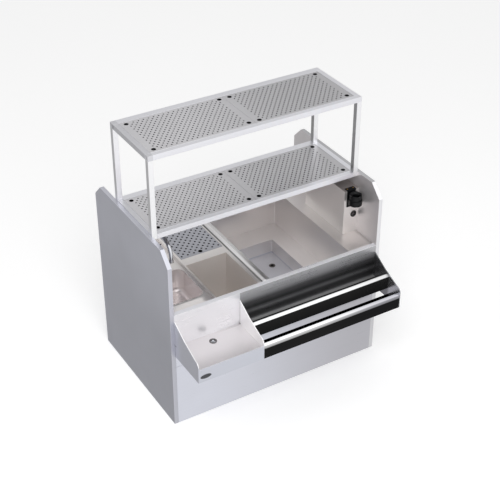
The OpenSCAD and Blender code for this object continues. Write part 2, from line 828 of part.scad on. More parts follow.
module holster_cup() color(black) place() translate([holster_x, holster_y, holster_z]) difference() {
    union() {
        cylinder(r = holster_r, h = holster_h);
        block([-holster_r / 2, 0, 0], [holster_r / 2, holster_off, holster_h - holster_arm_drop]);
    }
    translate([0, 0, -1]) cylinder(r = holster_bore_r, h = holster_h + 2);
    translate([0, 0, holster_h - funnel_h])
        cylinder(r1 = holster_bore_r, r2 = holster_r - 3, h = funnel_h + 0.01);
}

module drip_cup() color(black) place() translate([holster_x, holster_y, holster_z - drip_h]) difference() {
    cylinder(r = drip_r, h = drip_h);
    translate([0, 0, drip_floor]) cylinder(r = drip_r - drip_wall, h = drip_h);
}

module holster_screws() color(brass) place() for (sx = [-1, 1])
    translate([holster_x + sx * screw_gap / 2, riser_y + tab_d / 2, riser_z]) {
        translate([0, 0, bracket_t]) cylinder(r = 2 * screw_r, h = screw_head_h);
        cylinder(r = screw_r, h = bracket_t);
    }

// ---- Dump basin and bottle rail ----

// End wall: its top edge runs down from the cabinet to a round nose
module end_wall_outline() {
    nose = [end_nose_r - front_reach, lip_z + nose_up - end_nose_r];
    polygon(concat(
        [[0, skirt_z], [0, deck_z - end_wall_drop], [-wall_bend_y, lip_z + wall_bend_up]],
        arc(nose, end_nose_r, 90, 180), [[-front_reach, skirt_z]]));
}

module dump_basin() color(bright) place() {
    difference() {
        block([floor_x0, -front_reach, floor_z - sheet], [floor_x1, 0, floor_z]);
        translate([basin_mid, -basin_drain_y, floor_z - 2 * sheet])
            cylinder(r = thread_r(basin_tail_r), h = 3 * sheet);
    }
    block([floor_x0, -front_reach, skirt_z], [floor_x1, sheet - front_reach, lip_z]);
    block([floor_x0, sheet - front_reach, lip_z - hem], [floor_x1, sheet + hem - front_reach, lip_z]);
    block([floor_x0, -sheet, skirt_z], [floor_x1, 0, floor_z - sheet]);
    for (x = [basin_x0, floor_x1]) along_x(x, x + end_wall_t) end_wall_outline();
}

module at_basin() place() translate([basin_mid, -basin_drain_y, floor_z]) children();

module basin_drain() color(bright) at_basin() drain(basin_tail_r, basin_rim);

module basin_drain_nut() color(brass) at_basin() drain_nut(basin_tail_r);

module basin_strainer() color(bright) at_basin() strainer(basin_tail_r);

// Top of a trough's wall, which curves back over the trough and ends in a hem
function rolled_lip(y, z, h) = concat(
    [for (a = [180 : -18 : 90]) [y + lip_roll * (1 + cos(a)), z + h * (sin(a) - 1)]],
    [[y + lip_roll + lip_tuck, z - 2 * hem]]);

module rear_trough() color(shade) place() {
    block([basin_x1, sheet - rear_trough_d, floor_z - sheet], [rail_x1, 0, floor_z]);
    along_x(basin_x1, rail_x1) folded(concat(
        [[-rear_trough_d, floor_z - trough_skirt]],
        rolled_lip(-rear_trough_d, floor_z + rear_lip_h, rear_roll_h)));
}

module front_trough() color(shade) place() along_x(basin_x1, rail_x1) {
    back = front_trough_d - front_reach;
    folded([[back, skirt_z + front_back_h], [back, skirt_z], [sheet - front_reach, skirt_z]]);
    folded(concat([[-front_reach, skirt_z]],
                  rolled_lip(-front_reach, skirt_z + front_lip_h, front_roll_h)));
}

module rail_end_wall() color(bright) place() along_x(rail_x1, inner_r) end_wall_outline();

module oval_plate() color(black) place()
    translate([basin_x0 + oval_in, -front_reach, skirt_z + oval_up]) rotate([90, 0, 0])
        linear_extrude(plate_t) scale([oval_w / oval_h, 1]) circle(oval_h / 2);

// ---- Overshelf ----

function tier_low(top) = top - tier_h;
function ledge_z(top) = top - insert_edge;

module post(x, y) color(bright) place() difference() {
    block([x, y, tier_low(lower_z)], [x + post_w, y + post_w, tier_low(upper_z)]);
    block([x + sheet, y + sheet, tier_low(lower_z) - 1],
          [x + post_w - sheet, y + post_w - sheet, tier_low(upper_z) + 1]);
}

// A tier's front or back rail, with the ledge that carries the inserts
module long_rail(x0, x1, y0, y1, ledge_y, top) color(bright) place() {
    tube_x(x0, x1, [y0, tier_low(top)], [y1, top]);
    block([inner_l + post_w, ledge_y, ledge_z(top) - sheet],
          [inner_r - post_w, ledge_y + ledge_w, ledge_z(top)]);
}

module front_rail(x0, x1, top) long_rail(x0, x1, shelf_y, field_y0, field_y0, top);

module back_rail(x0, x1, top) long_rail(x0, x1, field_y1, shelf_y1, field_y1 - ledge_w, top);

// End bars with ledges, and a low bar under the seam between the two inserts
module cross_bars(top, end_y1) color(bright) place() {
    for (sx = [-1, 1]) mirror([sx > 0 ? 0 : 1, 0, 0]) {
        difference() {
            block([inner_r - post_w, field_y0, tier_low(top)], [inner_r, end_y1, top]);
            block([inner_r - post_w + sheet, field_y0 - 1, tier_low(top) + sheet],
                  [inner_r - sheet, end_y1 + 1, top - sheet]);
        }
        block([inner_r - post_w - ledge_w, field_y0 + ledge_w, ledge_z(top) - sheet],
              [inner_r - post_w, field_y1 - ledge_w, ledge_z(top)]);
    }
    block([-post_w / 2, field_y0 + ledge_w, tier_low(top)], [post_w / 2, field_y1 - ledge_w, ledge_z(top)]);
}

module shelf_insert(x0, top) color(steel) place() {
    w = inner_r - post_w - 1.5 * fit_gap;
    d = field_y1 - field_y0 - 2 * fit_gap;
    corners = [for (x = [shelf_finger_x, w - shelf_finger_x])
               for (y = [shelf_finger_y, d - shelf_finger_y]) [x, y]];
    keep_r = finger_r + shelf_hole_r + hole_web;
    holes = hole_field(
        w, d, shelf_margin_x, shelf_margin_y, shelf_pitch, shelf_row, corners, keep_r);
    translate([x0, field_y0 + fit_gap, top])
        tray_insert(w, d, insert_edge - face_gap, holes, shelf_hole_r, corners);
}

// Runs its children at the four places of the angle brackets under the lower tier
module at_brackets() for (sx = [-1, 1], y = [shelf_y + bracket_in, shelf_y1 - bracket_in - bracket_len])
    mirror([sx > 0 ? 0 : 1, 0, 0]) translate([inner_r, y, tier_low(lower_z)]) children();

module shelf_brackets() color(bright) place() at_brackets() difference() {
    union() {
        block([-angle_t, 0, -bracket_leg], [0, bracket_len, 0]);
        block([-post_w, 0, -angle_t], [0, bracket_len, 0]);
    }
    for (y = bolt_y) translate([-2 * angle_t, y, -bolt_down]) rotate([0, 90, 0])
        cylinder(r = bolt_r, h = 3 * angle_t);
}

module bracket_bolts() color(bright) place() at_brackets() for (y = bolt_y)
    translate([0, y, -bolt_down]) rotate([0, -90, 0]) {
        cylinder(r = bolt_r, h = angle_t);
        translate([0, 0, angle_t]) cylinder(r = 1.8 * bolt_r, h = bolt_head_h, $fn = 6);
    }

left_side_panel();
right_side_panel();
back_panel();
base_rail_at(sheet);  // base_front_rail
base_rail_at(deck_back - base_rail);  // base_rear_rail
front_access_panel();
front_upper_panel();
front_apron();
sink_deck();
sink_bowl();
sink_drain();
sink_drain_nut();
sink_strainer();
faucet_base();
faucet_nuts();
faucet_spout();
faucet_aerator();
lever_at(valve_x[0]);  // hot_lever
lever_at(valve_x[1]);  // cold_lever
center_deck();
bottle_well();
drip_pan();
drain_insert();
bin_bar();
ice_bin_liner();
ice_bin_foam();
ice_bin_shell();
ice_bin_drain();
bin_deck();
right_landing();
riser_box();
hose_grommet();
holster_bracket();
holster_cup();
drip_cup();
holster_screws();
dump_basin();
basin_drain();
basin_drain_nut();
basin_strainer();
rear_trough();
front_trough();
rail_end_wall();
oval_plate();
post(inner_l, shelf_y);  // post_front_left
post(inner_r - post_w, shelf_y);  // post_front_right
post(inner_l, shelf_y1 - post_w);  // post_back_left
post(inner_r - post_w, shelf_y1 - post_w);  // post_back_right
front_rail(inner_l + post_w, inner_r - post_w, lower_z);  // lower_front_rail
back_rail(inner_l + post_w, inner_r - post_w, lower_z);  // lower_back_rail
cross_bars(lower_z, shelf_y1 - post_w);  // lower_cross_bars
front_rail(inner_l, inner_r, upper_z);  // upper_front_rail
back_rail(inner_l, inner_r, upper_z);  // upper_back_rail
cross_bars(upper_z, field_y1);  // upper_cross_bars
shelf_insert(left_insert_x, lower_z);  // lower_left_insert
shelf_insert(fit_gap / 2, lower_z);  // lower_right_insert
shelf_insert(left_insert_x, upper_z);  // upper_left_insert
shelf_insert(fit_gap / 2, upper_z);  // upper_right_insert
shelf_brackets();
bracket_bolts();
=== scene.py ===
"""Looks of a stainless underbar drinks station, built round its fixed frame.

Folded-sheet pieces are finished copies of the frame's nodes with their edges
rounded. Perforated trays, the spout, bolts and screws are made with Geometry
Nodes. Bowls, cups, lips and levers come from their own profiles.
Every length is in metres, +Z is up and the front faces -Y.
"""

import json
import logging
import math
from dataclasses import dataclass
from enum import Enum, IntEnum
from typing import Iterable, Optional, Sequence, Union

import bmesh
import bpy
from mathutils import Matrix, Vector


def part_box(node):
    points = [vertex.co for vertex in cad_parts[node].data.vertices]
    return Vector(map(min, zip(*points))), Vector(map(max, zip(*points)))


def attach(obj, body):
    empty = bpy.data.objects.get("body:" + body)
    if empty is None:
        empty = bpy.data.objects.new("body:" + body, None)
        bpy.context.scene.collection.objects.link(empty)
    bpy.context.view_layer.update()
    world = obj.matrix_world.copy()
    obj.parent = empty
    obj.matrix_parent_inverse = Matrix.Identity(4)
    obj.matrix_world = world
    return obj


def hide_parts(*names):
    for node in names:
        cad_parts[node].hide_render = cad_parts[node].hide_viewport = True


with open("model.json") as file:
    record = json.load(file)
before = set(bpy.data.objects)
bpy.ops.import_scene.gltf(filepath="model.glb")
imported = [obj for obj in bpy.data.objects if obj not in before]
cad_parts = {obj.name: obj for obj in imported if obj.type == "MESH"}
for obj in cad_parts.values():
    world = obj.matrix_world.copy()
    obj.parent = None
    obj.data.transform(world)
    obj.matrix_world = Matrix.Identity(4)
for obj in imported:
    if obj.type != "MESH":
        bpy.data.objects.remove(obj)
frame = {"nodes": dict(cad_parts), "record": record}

LOG = logging.getLogger("station")
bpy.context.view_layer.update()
# Metres: how close vertices are one, the least corner radius, a turned shape's hub.
WELD = 1e-5
POINT = 1e-7
HUB = 1e-6
# Edges sharper than the first are creases, flatter than the next are no edges, and
# inner ones sharper than the last are corners that take a cove.
SMOOTH_ANGLE = math.radians(32)
FLAT_ANGLE = math.radians(0.4)
CORNER_ANGLE = math.radians(60)

Socket = bpy.types.NodeSocket
Shape = bmesh.types.BMesh
Point2 = tuple[float, float]
Point3 = tuple[float, float, float]
Colour = tuple[float, float, float]
Paint = Union[Colour, Socket]
WHITE: Colour = (1.0, 1.0, 1.0)


class Axis(IntEnum):
    """An axis of the object's own space."""

    X = 0
    Y = 1
    Z = 2


X, Y, Z = Axis
# A stop is (place, grey level or colour). A mask is (axis, start, stop).
Stops = tuple[tuple[float, Union[float, Colour]], ...]
Mask = tuple[Axis, float, float]


def ink(code: str) -> Colour:
    """Linear colour of a hex code.

    Args:
        code: Six hex digits after a hash sign.

    Returns:
        Red, green and blue in linear light.
    """
    parts = (int(code[i : i + 2], 16) / 255 for i in (1, 3, 5))
    return tuple(c / 12.92 if c <= 0.04045 else ((c + 0.055) / 1.055) ** 2.4 for c in parts)


def grey(share: float) -> Colour:
    """A neutral colour of one level."""
    return (share, share, share)


def shaded(colour: Colour, share: float) -> Colour:
    """A colour times a share, held to 1."""
    return tuple(min(1.0, part * share) for part in colour)


# ------------------------------------------------------------------ node maths


class Wire:
    """A number that runs through a tree's nodes and takes arithmetic."""

    def __init__(self, nodes: "Nodes", socket: Socket) -> None:
        """Keeps the tree's builder and the socket that the number leaves from."""
        self.nodes = nodes
        self.socket = socket

    def __add__(self, other: "Term") -> "Wire":
        """This plus another."""
        return self.nodes.math("ADD", self, other)

    def __sub__(self, other: "Term") -> "Wire":
        """This less another."""
        return self.nodes.math("SUBTRACT", self, other)

    def __rsub__(self, other: "Term") -> "Wire":
        """Another less this."""
        return self.nodes.math("SUBTRACT", other, self)

    def __mul__(self, other: "Term") -> "Wire":
        """This times another."""
        return self.nodes.math("MULTIPLY", self, other)

    def __truediv__(self, other: "Term") -> "Wire":
        """This over another."""
        return self.nodes.math("DIVIDE", self, other)

    __radd__ = __add__
    __rmul__ = __mul__

    def above(self, low: float, high: float) -> "Wire":
        """Smooth step of this number from 0 at low to 1 at high."""
        return self.nodes.step(self, low, high)

    def below(self, low: float, high: float) -> "Wire":
        """Smooth step of this number from 1 at low to 0 at high."""
        return 1 - self.nodes.step(self, low, high)

    def clipped(self) -> "Wire":
        """This number held between 0 and 1."""
        return self.nodes.math("ADD", self, 0.0, clamp=True)


Term = Union[Wire, int, float]


class Nodes:
    """Adds nodes to a tree."""

    def __init__(self, tree: bpy.types.NodeTree) -> None:
        """Keeps the tree."""
        self.tree = tree

    def add(
        self, kind: str, settings: Optional[dict] = None, inputs: Optional[dict] = None
    ) -> bpy.types.Node:
        """Adds a node.

        Args:
            kind: The node's type.
            settings: Its own properties, set before its sockets.
            inputs: Values or wires of its sockets, by name or by number.

        Returns:
            The new node.
        """
        node = self.tree.nodes.new(kind)
        for key, value in (settings or {}).items():
            setattr(node, key, value)
        for key, value in (inputs or {}).items():
            socket = node.inputs[key]
            source = value.socket if isinstance(value, Wire) else value
            if isinstance(source, Socket):
                self.tree.links.new(source, socket)
            elif isinstance(source, tuple) and len(source) == 3 and socket.type == "RGBA":
                socket.default_value = (*source, 1.0)
            else:
                socket.default_value = source
        return node

    def result(
        self, kind: str, settings: Optional[dict] = None, inputs: Optional[dict] = None
    ) -> Socket:
        """Adds a node and gives its first output."""
        return self.add(kind, settings, inputs).outputs[0]

    def math(self, operation: str, a: Term, b: Term = 0.0, clamp: bool = False) -> Wire:
        """One step of arithmetic on one or two numbers."""
        settings = {"operation": operation, "use_clamp": clamp}
        return Wire(self, self.result("ShaderNodeMath", settings, {0: a, 1: b}))

    def step(self, value: Wire, low: float, high: float) -> Wire:
        """Smooth step of a number.

        Args:
            value: The number.
            low: Where the step is 0.
            high: Where it is 1.

        Returns:
            The step.
        """
        node = self.add(
            "ShaderNodeMapRange",
            {"interpolation_type": "SMOOTHSTEP", "clamp": True},
            {"Value": value, "From Min": low, "From Max": high},
        )
        return Wire(self, node.outputs["Result"])

    def axes(self, vector: Socket) -> tuple[Wire, ...]:
        """X, Y and Z of a vector."""
        node = self.add("ShaderNodeSeparateXYZ", inputs={0: vector})
        return tuple(Wire(self, socket) for socket in node.outputs)


class Bench(Nodes):
    """Builds one shader's nodes."""

    def __init__(self, tree: bpy.types.NodeTree) -> None:
        """Empties the tree and keeps it."""
        super().__init__(tree)
        tree.nodes.clear()

    def spot(self) -> Socket:
        """The surface's own place in metres."""
        return self.add("ShaderNodeTexCoord").outputs["Object"]

    def place(self) -> tuple[Wire, ...]:
        """The surface's own X, Y and Z in metres."""
        return self.axes(self.spot())

    def noise(self, scale: Sequence[float], detail: float, shift: float) -> Wire:
        """Noise on the surface's own place.

        Args:
            scale: Waves per metre along X, Y and Z.
            detail: Number of finer layers.
            shift: Offset that gives each use its own pattern.

        Returns:
            A number about 0.5.
        """
        ways = {"Vector": self.spot(), "Scale": tuple(scale), "Location": (shift,) * 3}
        vector = self.result("ShaderNodeMapping", inputs=ways)
        values = {"Vector": vector, "Scale": 1.0, "Detail": detail, "Roughness": 0.55}
        return Wire(self, self.result("ShaderNodeTexNoise", inputs=values))

    def blend(self, share: Term, a: Paint, b: Paint) -> Socket:
        """Mixes two colours, the first at share 0 and the second at 1."""
        settings = {"data_type": "RGBA", "clamp_factor": True}
        return self.add("ShaderNodeMix", settings, {0: share, 6: a, 7: b}).outputs[2]

    def times(self, a: Paint, b: Paint) -> Socket:
        """Multiplies two colours."""
        settings = {"data_type": "RGBA", "blend_type": "MULTIPLY"}
        return self.add("ShaderNodeMix", settings, {0: 1.0, 6: a, 7: b}).outputs[2]

    def ramp(self, value: Wire, stops: Stops) -> Paint:
        """A colour that runs through stops along a number.

        Args:
            value: The number.
            stops: (number, colour or grey level) pairs in rising order.

        Returns:
            The colour.
        """
        spots = [spot for spot, _ in stops]
        first, *rest = (level if isinstance(level, tuple) else grey(level) for _, level in stops)
        colour: Paint = first
        for low, high, after in zip(spots, spots[1:], rest):
            colour = self.blend(self.step(value, low, high), colour, after)
        return colour

    def masked(self, masks: Sequence[Mask]) -> Term:
        """Product of masks on the surface's own place.

        Args:
            masks: (axis, start, stop) of each, which is 0 at its start and 1 at its stop.

        Returns:
            A number from 0 to 1.
        """
        place = self.place()
        share: Term = 1.0
        for axis, start, stop in masks:
            way = place[axis]
            share = (way.above(start, stop) if start < stop else way.below(stop, start)) * share
        return share

    def bump(self, height: Wire, depth: float, strength: float) -> Socket:
        """A bump's normal from a height of the given depth in metres."""
        values = {"Height": height, "Distance": depth, "Strength": strength}
        return self.result("ShaderNodeBump", inputs=values)

    def surface(self, **inputs: object) -> None:
        """Ends the tree in a Principled shader.

        Args:
            **inputs: Its sockets by name, with underscores for spaces.
        """
        named = {key.replace("_", " "): value for key, value in inputs.items()}
        shader = self.result("ShaderNodeBsdfPrincipled", inputs=named)
        self.add("ShaderNodeOutputMaterial", inputs={"Surface": shader})


def new_material(name: str) -> tuple[bpy.types.Material, Bench]:
    """An empty node material.

    Args:
        name: The material's name.

    Returns:
        The material and its builder.
    """
    material = bpy.data.materials.new(name)
    material.use_nodes = True
    return material, Bench(material.node_tree)


# -------------------------------------------------------------------- finishes


class Grain(Enum):
    """The way a brushed finish runs, as waves per metre along X, Y and Z."""

    ALONG_X = (3.0, 520.0, 520.0)
    ALONG_Y = (520.0, 3.0, 520.0)
    ALONG_Z = (520.0, 520.0, 3.0)


@dataclass(frozen=True)
class Tint:
    """Multiplies a finish by colour stops along an axis: painted shade, highlights and
    reflections.

    A mask is (axis, start, stop), as Bench.masked takes it.
    """

    axis: Axis
    stops: Stops
    masks: tuple[Mask, ...] = ()

    def paint(self, bench: Bench, colour: Paint) -> Socket:
        """Lays this tint on a colour.

        Args:
            bench: The shader's builder.
            colour: The colour so far.

        Returns:
            The tinted colour.
        """
        tint = bench.ramp(bench.place()[self.axis], self.stops)
        if self.masks:
            tint = bench.blend(bench.masked(self.masks), WHITE, tint)
        return bench.times(colour, tint)


@dataclass(frozen=True)
class Matt:
    """A place made less metallic so that it reads lighter: a painted highlight."""

    metallic: float
    masks: tuple[Mask, ...]

    def lower(self, bench: Bench, metallic: Term) -> Term:
        """The metallic level with this place on it."""
        share = bench.masked(self.masks)
        return share * self.metallic + (1 - share) * metallic


@dataclass(frozen=True)
class BrushedSteel:
    """Stainless sheet with a fine brushed grain and a slow, cloudy change of tone."""

    CLOUDS = (2.2, 2.2, 2.2)
    SMUDGES = (9.0, 9.0, 9.0)
    FULL_STREAK = 0.1
    FULL_TONE = 0.05
    DARKER = 0.93
    LIGHTER = 1.06
    STREAK_ROUGHNESS = 0.16
    SMUDGE_ROUGHNESS = 0.10
    SCRATCH = 0.00006

    name: str
    colour: str
    grain: Grain = Grain.ALONG_X
    roughness: float = 0.34
    tone: float = 0.05
    streak: float = 0.05
    metallic: float = 1.0
    # Tints and matts paint shade, highlights and reflections onto the finish.
    tints: tuple[Tint, ...] = ()
    matts: tuple[Matt, ...] = ()

    def make(self) -> bpy.types.Material:
        """Builds the finish.

        Returns:
            The material.
        """
        material, bench = new_material(self.name)
        base = ink(self.colour)
        streak = bench.noise(self.grain.value, detail=3.0, shift=1.7)
        cloud = bench.noise(self.CLOUDS, detail=2.0, shift=5.1)
        smudge = bench.noise(self.SMUDGES, detail=4.0, shift=8.3)
        streaky = (streak - 0.5) * (self.streak / self.FULL_STREAK)
        cloudy = (cloud - 0.5) * (self.tone / self.FULL_TONE)
        share = (0.5 + streaky + cloudy).clipped()
        colour = bench.blend(share, shaded(base, self.DARKER), shaded(base, self.LIGHTER))
        for tint in self.tints:
            colour = tint.paint(bench, colour)
        metallic: Term = self.metallic
        for matt in self.matts:
            metallic = matt.lower(bench, metallic)
        worn = self.roughness + (streak - 0.5) * self.STREAK_ROUGHNESS
        bench.surface(
            Base_Color=colour,
            Metallic=metallic,
            Roughness=worn + (smudge - 0.5) * self.SMUDGE_ROUGHNESS,
            Normal=bench.bump(streak, self.SCRATCH, strength=0.6),
        )
        return material


@dataclass(frozen=True)
class Polished:
    """Plated or machined metal with faint handling marks."""

    MARKS = (60.0, 60.0, 60.0)
    FILM = (14.0, 14.0, 14.0)
    FILM_SHADE = 0.9
    MARK_ROUGHNESS = 0.10
    SCRATCH = 0.00004

    name: str
    colour: str
    roughness: float = 0.12

    def make(self) -> bpy.types.Material:
        """Builds the finish.

        Returns:
            The material.
        """
        material, bench = new_material(self.name)
        base = ink(self.colour)
        marks = bench.noise(self.MARKS, detail=4.0, shift=2.4)
        film = bench.noise(self.FILM, detail=2.0, shift=6.6)
        bench.surface(
            Base_Color=bench.blend(film, shaded(base, self.FILM_SHADE), base),
            Metallic=1.0,
            Roughness=self.roughness + (marks - 0.5) * self.MARK_ROUGHNESS,
            Normal=bench.bump(marks, self.SCRATCH, strength=0.4),
        )
        return material


@dataclass(frozen=True)
class Moulded:
    """Moulded plastic, rubber, paint or rigid foam with a fine skin texture."""

    MOTTLES = (30.0, 30.0, 30.0)
    MOTTLE_ROUGHNESS = 0.12

    name: str
    colour: str
    roughness: float = 0.42
    pore: float = 900.0
    depth: float = 0.00005
    mottle: float = 0.25
    specular: float = 0.5

    def make(self) -> bpy.types.Material:
        """Builds the finish.

        Returns:
            The material.
        """
        material, bench = new_material(self.name)
        base = ink(self.colour)
        pores = bench.noise((self.pore,) * 3, detail=3.0, shift=3.3)
        cloud = bench.noise(self.MOTTLES, detail=3.0, shift=4.1)
        low, high = shaded(base, 1 - self.mottle), shaded(base, 1 + self.mottle)
        bench.surface(
            Base_Color=bench.blend(cloud, low, high),
            Metallic=0.0,
            Roughness=self.roughness + (cloud - 0.5) * self.MOTTLE_ROUGHNESS,
            Specular_IOR_Level=self.specular,
            Normal=bench.bump(pores, self.depth, strength=0.7),
        )
        return material


# ------------------------------------------------------------------ mesh tools


def placed(name: str, data: Optional[bpy.types.ID]) -> bpy.types.Object:
    """A new object in the scene.

    Args:
        name: The object's name.
        data: Its mesh, camera or lamp.

    Returns:
        The object, at the origin.
    """
    made = bpy.data.objects.new(name, data)
    bpy.context.scene.collection.objects.link(made)
    return made


def to_object(name: str, shape: Shape) -> bpy.types.Object:
    """Turns a bmesh into an object with smooth faces, and frees it.

    Args:
        name: The object's name.
        shape: The mesh in progress.

    Returns:
        The new object, at the origin.
    """
    mesh = bpy.data.meshes.new(name)
    for face in shape.faces:
        face.smooth = True
    shape.to_mesh(mesh)
    shape.free()
    return placed(name, mesh)


def settle(made: bpy.types.Object) -> bpy.types.Object:
    """Evens out an object's shading and applies its modifiers.

    Args:
        made: The object.

    Returns:
        The same object with a plain mesh.
    """
    even = made.modifiers.new("even", "WEIGHTED_NORMAL")
    even.keep_sharp = True
    bpy.context.view_layer.update()
    graph = bpy.context.evaluated_depsgraph_get()
    mesh = bpy.data.meshes.new_from_object(made.evaluated_get(graph))
    made.modifiers.clear()
    made.data = mesh
    mesh.name = made.name
    return made


def round_edges(made: bpy.types.Object, width: float) -> bpy.types.Object:
    """Rounds an object's sharp edges and evens out its shading.

    Args:
        made: The object.
        width: Width of the round, 0 for none.

    Returns:
        The same object with a plain mesh.
    """
    if width > 0:
        bevel = made.modifiers.new("round", "BEVEL")
        bevel.width = width
        bevel.segments = 2
        bevel.limit_method = "ANGLE"
        bevel.angle_limit = SMOOTH_ANGLE
        bevel.use_clamp_overlap = False
    return settle(made)


def sharpen(shape: Shape) -> None:
    """Marks the edges that turn more than the smooth angle as sharp."""
    for edge in shape.edges:
        if len(edge.link_faces) == 2 and edge.calc_face_angle(0.0) > SMOOTH_ANGLE:
            edge.smooth = False


def pour(whole: Shape, parts: Iterable[Shape]) -> None:
    """Adds shapes to another, and frees them.

    Args:
        whole: The shape that takes them.
        parts: The shapes that go in.
    """
    for part in parts:
        spare = bpy.data.meshes.new("spare")
        part.to_mesh(spare)
        part.free()
        whole.from_mesh(spare)
        bpy.data.meshes.remove(spare)


def welded(node: str) -> Shape:
    """A frame node's loose triangles, merged.

    Args:
        node: The frame node's name.

    Returns:
        The mesh in progress.
    """
    shape = bmesh.new()
    shape.from_mesh(frame["nodes"][node].data)
    bmesh.ops.remove_doubles(shape, verts=shape.verts, dist=WELD)
    return shape


def faced(node: str) -> Shape:
    """A frame node's mesh with each flat side as one face.

    Args:
        node: The frame node's name.

    Returns:
        The mesh in progress.
    """
    shape = welded(node)
    bmesh.ops.dissolve_limit(
        shape,
        angle_limit=FLAT_ANGLE,
        use_dissolve_boundaries=False,
        verts=shape.verts,
        edges=shape.edges,
    )
    return shape


def copy_of(node: str, name: str, width: float, extra: Iterable[Shape] = ()) -> bpy.types.Object:
    """A merged copy of a frame node with its edges rounded.

    Args:
        node: The frame node's name.
        name: The new object's name.
        width: Width of the round edges, 0 to leave them sharp.
        extra: Shapes that go into the same object.

    Returns:
        The new object.
    """
    shape = faced(node)
    pour(shape, extra)
    if width <= 0:
        sharpen(shape)
    return round_edges(to_object(name, shape), width)


def skin(shape: Shape, rings: Sequence[Sequence[bmesh.types.BMVert]]) -> None:
    """Joins closed rings of vertices with faces.

    Args:
        shape: The mesh in progress.
        rings: Rings of one length, in order.
    """
    count = len(rings[0])
    for lower, upper in zip(rings, rings[1:]):
        for i in range(count):
            j = (i + 1) % count
            shape.faces.new((lower[i], lower[j], upper[j], upper[i]))


def finish_shape(shape: Shape) -> None:
    """Welds a closed shape's doubles and turns its faces outwards.

    Args:
        shape: The mesh in progress.
    """
    bmesh.ops.remove_doubles(shape, verts=shape.verts, dist=WELD)
    bmesh.ops.dissolve_degenerate(shape, dist=WELD / 2, edges=shape.edges)
    bmesh.ops.recalc_face_normals(shape, faces=shape.faces)
    sharpen(shape)


def lathe(
    profile: Sequence[Point2], centre: Vector = Vector(), steps: int = 64, closed: bool = True
) -> Shape:
    """Turns a profile about an upright axis.

    Args:
        profile: (radius, height) points, in order round the section.
        centre: The point at radius 0, height 0.
        steps: Number of faces round the axis.
        closed: Whether the profile goes back to its start. An open one is wound by its order.

    Returns:
        The turned shape.
    """
    shape = bmesh.new()
    rings = []
    for radius, height in (*profile, *(profile[:1] if closed else ())):
        ring = []
        for i in range(steps):
            angle = math.tau * i / steps
            spot = Vector((radius * math.cos(angle), radius * math.sin(angle), height))
            ring.append(shape.verts.new(centre + spot))
        rings.append(ring)
    skin(shape, rings)
    if closed:
        finish_shape(shape)
    return shape


def arc(centre: Point2, radius: float, start: float, stop: float, steps: int = 6) -> list[Point2]:
    """Points of an arc, its angles in degrees."""
    turn = (math.radians(start + (stop - start) * i / steps) for i in range(steps + 1))
    return [(centre[0] + radius * math.cos(a), centre[1] + radius * math.sin(a)) for a in turn]


def rounded_loop(low: Point2, high: Point2, radius: float, steps: int) -> list[Point2]:
    """Points of a rectangle with round corners.

    Args:
        low: Its lowest corner.
        high: Its highest corner.
        radius: Radius of the round corners.
        steps: Number of sides round a corner.

    Returns:
        The points, counter-clockwise.
    """
    left, right = low[0] + radius, high[0] - radius
    near, far = low[1] + radius, high[1] - radius
    loop: list[Point2] = []
    for quarter, centre in enumerate(((right, far), (left, far), (left, near), (right, near))):
        loop += arc(centre, radius, quarter * 90, quarter * 90 + 90, steps)
    return loop


def box_loft(half: Point2, sections: Sequence[Point3], steps: int) -> Shape:
    """Open shape whose rings are round-cornered rectangles about the origin.

    Args:
        half: Half the outermost rectangle's width and depth.
        sections: (inset, height, corner radius) of each ring, wound by their order.
        steps: Number of faces round a corner.

    Returns:
        The shape, welded.
    """
    shape = bmesh.new()
    rings = []
    for inset, height, radius in sections:
        out = (half[0] - inset, half[1] - inset)
        loop = rounded_loop((-out[0], -out[1]), out, max(radius, POINT), steps)
        rings.append([shape.verts.new((x, y, height)) for x, y in loop])
    skin(shape, rings)
    bmesh.ops.remove_doubles(shape, verts=shape.verts, dist=WELD)
    sharpen(shape)
    return shape


def merged(name: str, parts: Iterable[Shape]) -> bpy.types.Object:
    """One object from several shapes, which are freed.

    Args:
        name: The object's name.
        parts: The shapes.

    Returns:
        The object.
    """
    whole = bmesh.new()
    pour(whole, parts)
    return to_object(name, whole)


def extruded(outline: Sequence[Point2], x0: float, x1: float) -> Shape:
    """A closed outline drawn out along X.

    Args:
        outline: Its (y, z) points.
        x0: Where it starts.
        x1: Where it ends.

    Returns:
        The closed shape.
    """
    shape = bmesh.new()
    ends = [[shape.verts.new((x, y, z)) for y, z in outline] for x in (x0, x1)]
    skin(shape, ends)
    for end in ends:
        shape.faces.new(end)
    finish_shape(shape)
    return shape


# --------------------------------------------------------------- Geometry Nodes


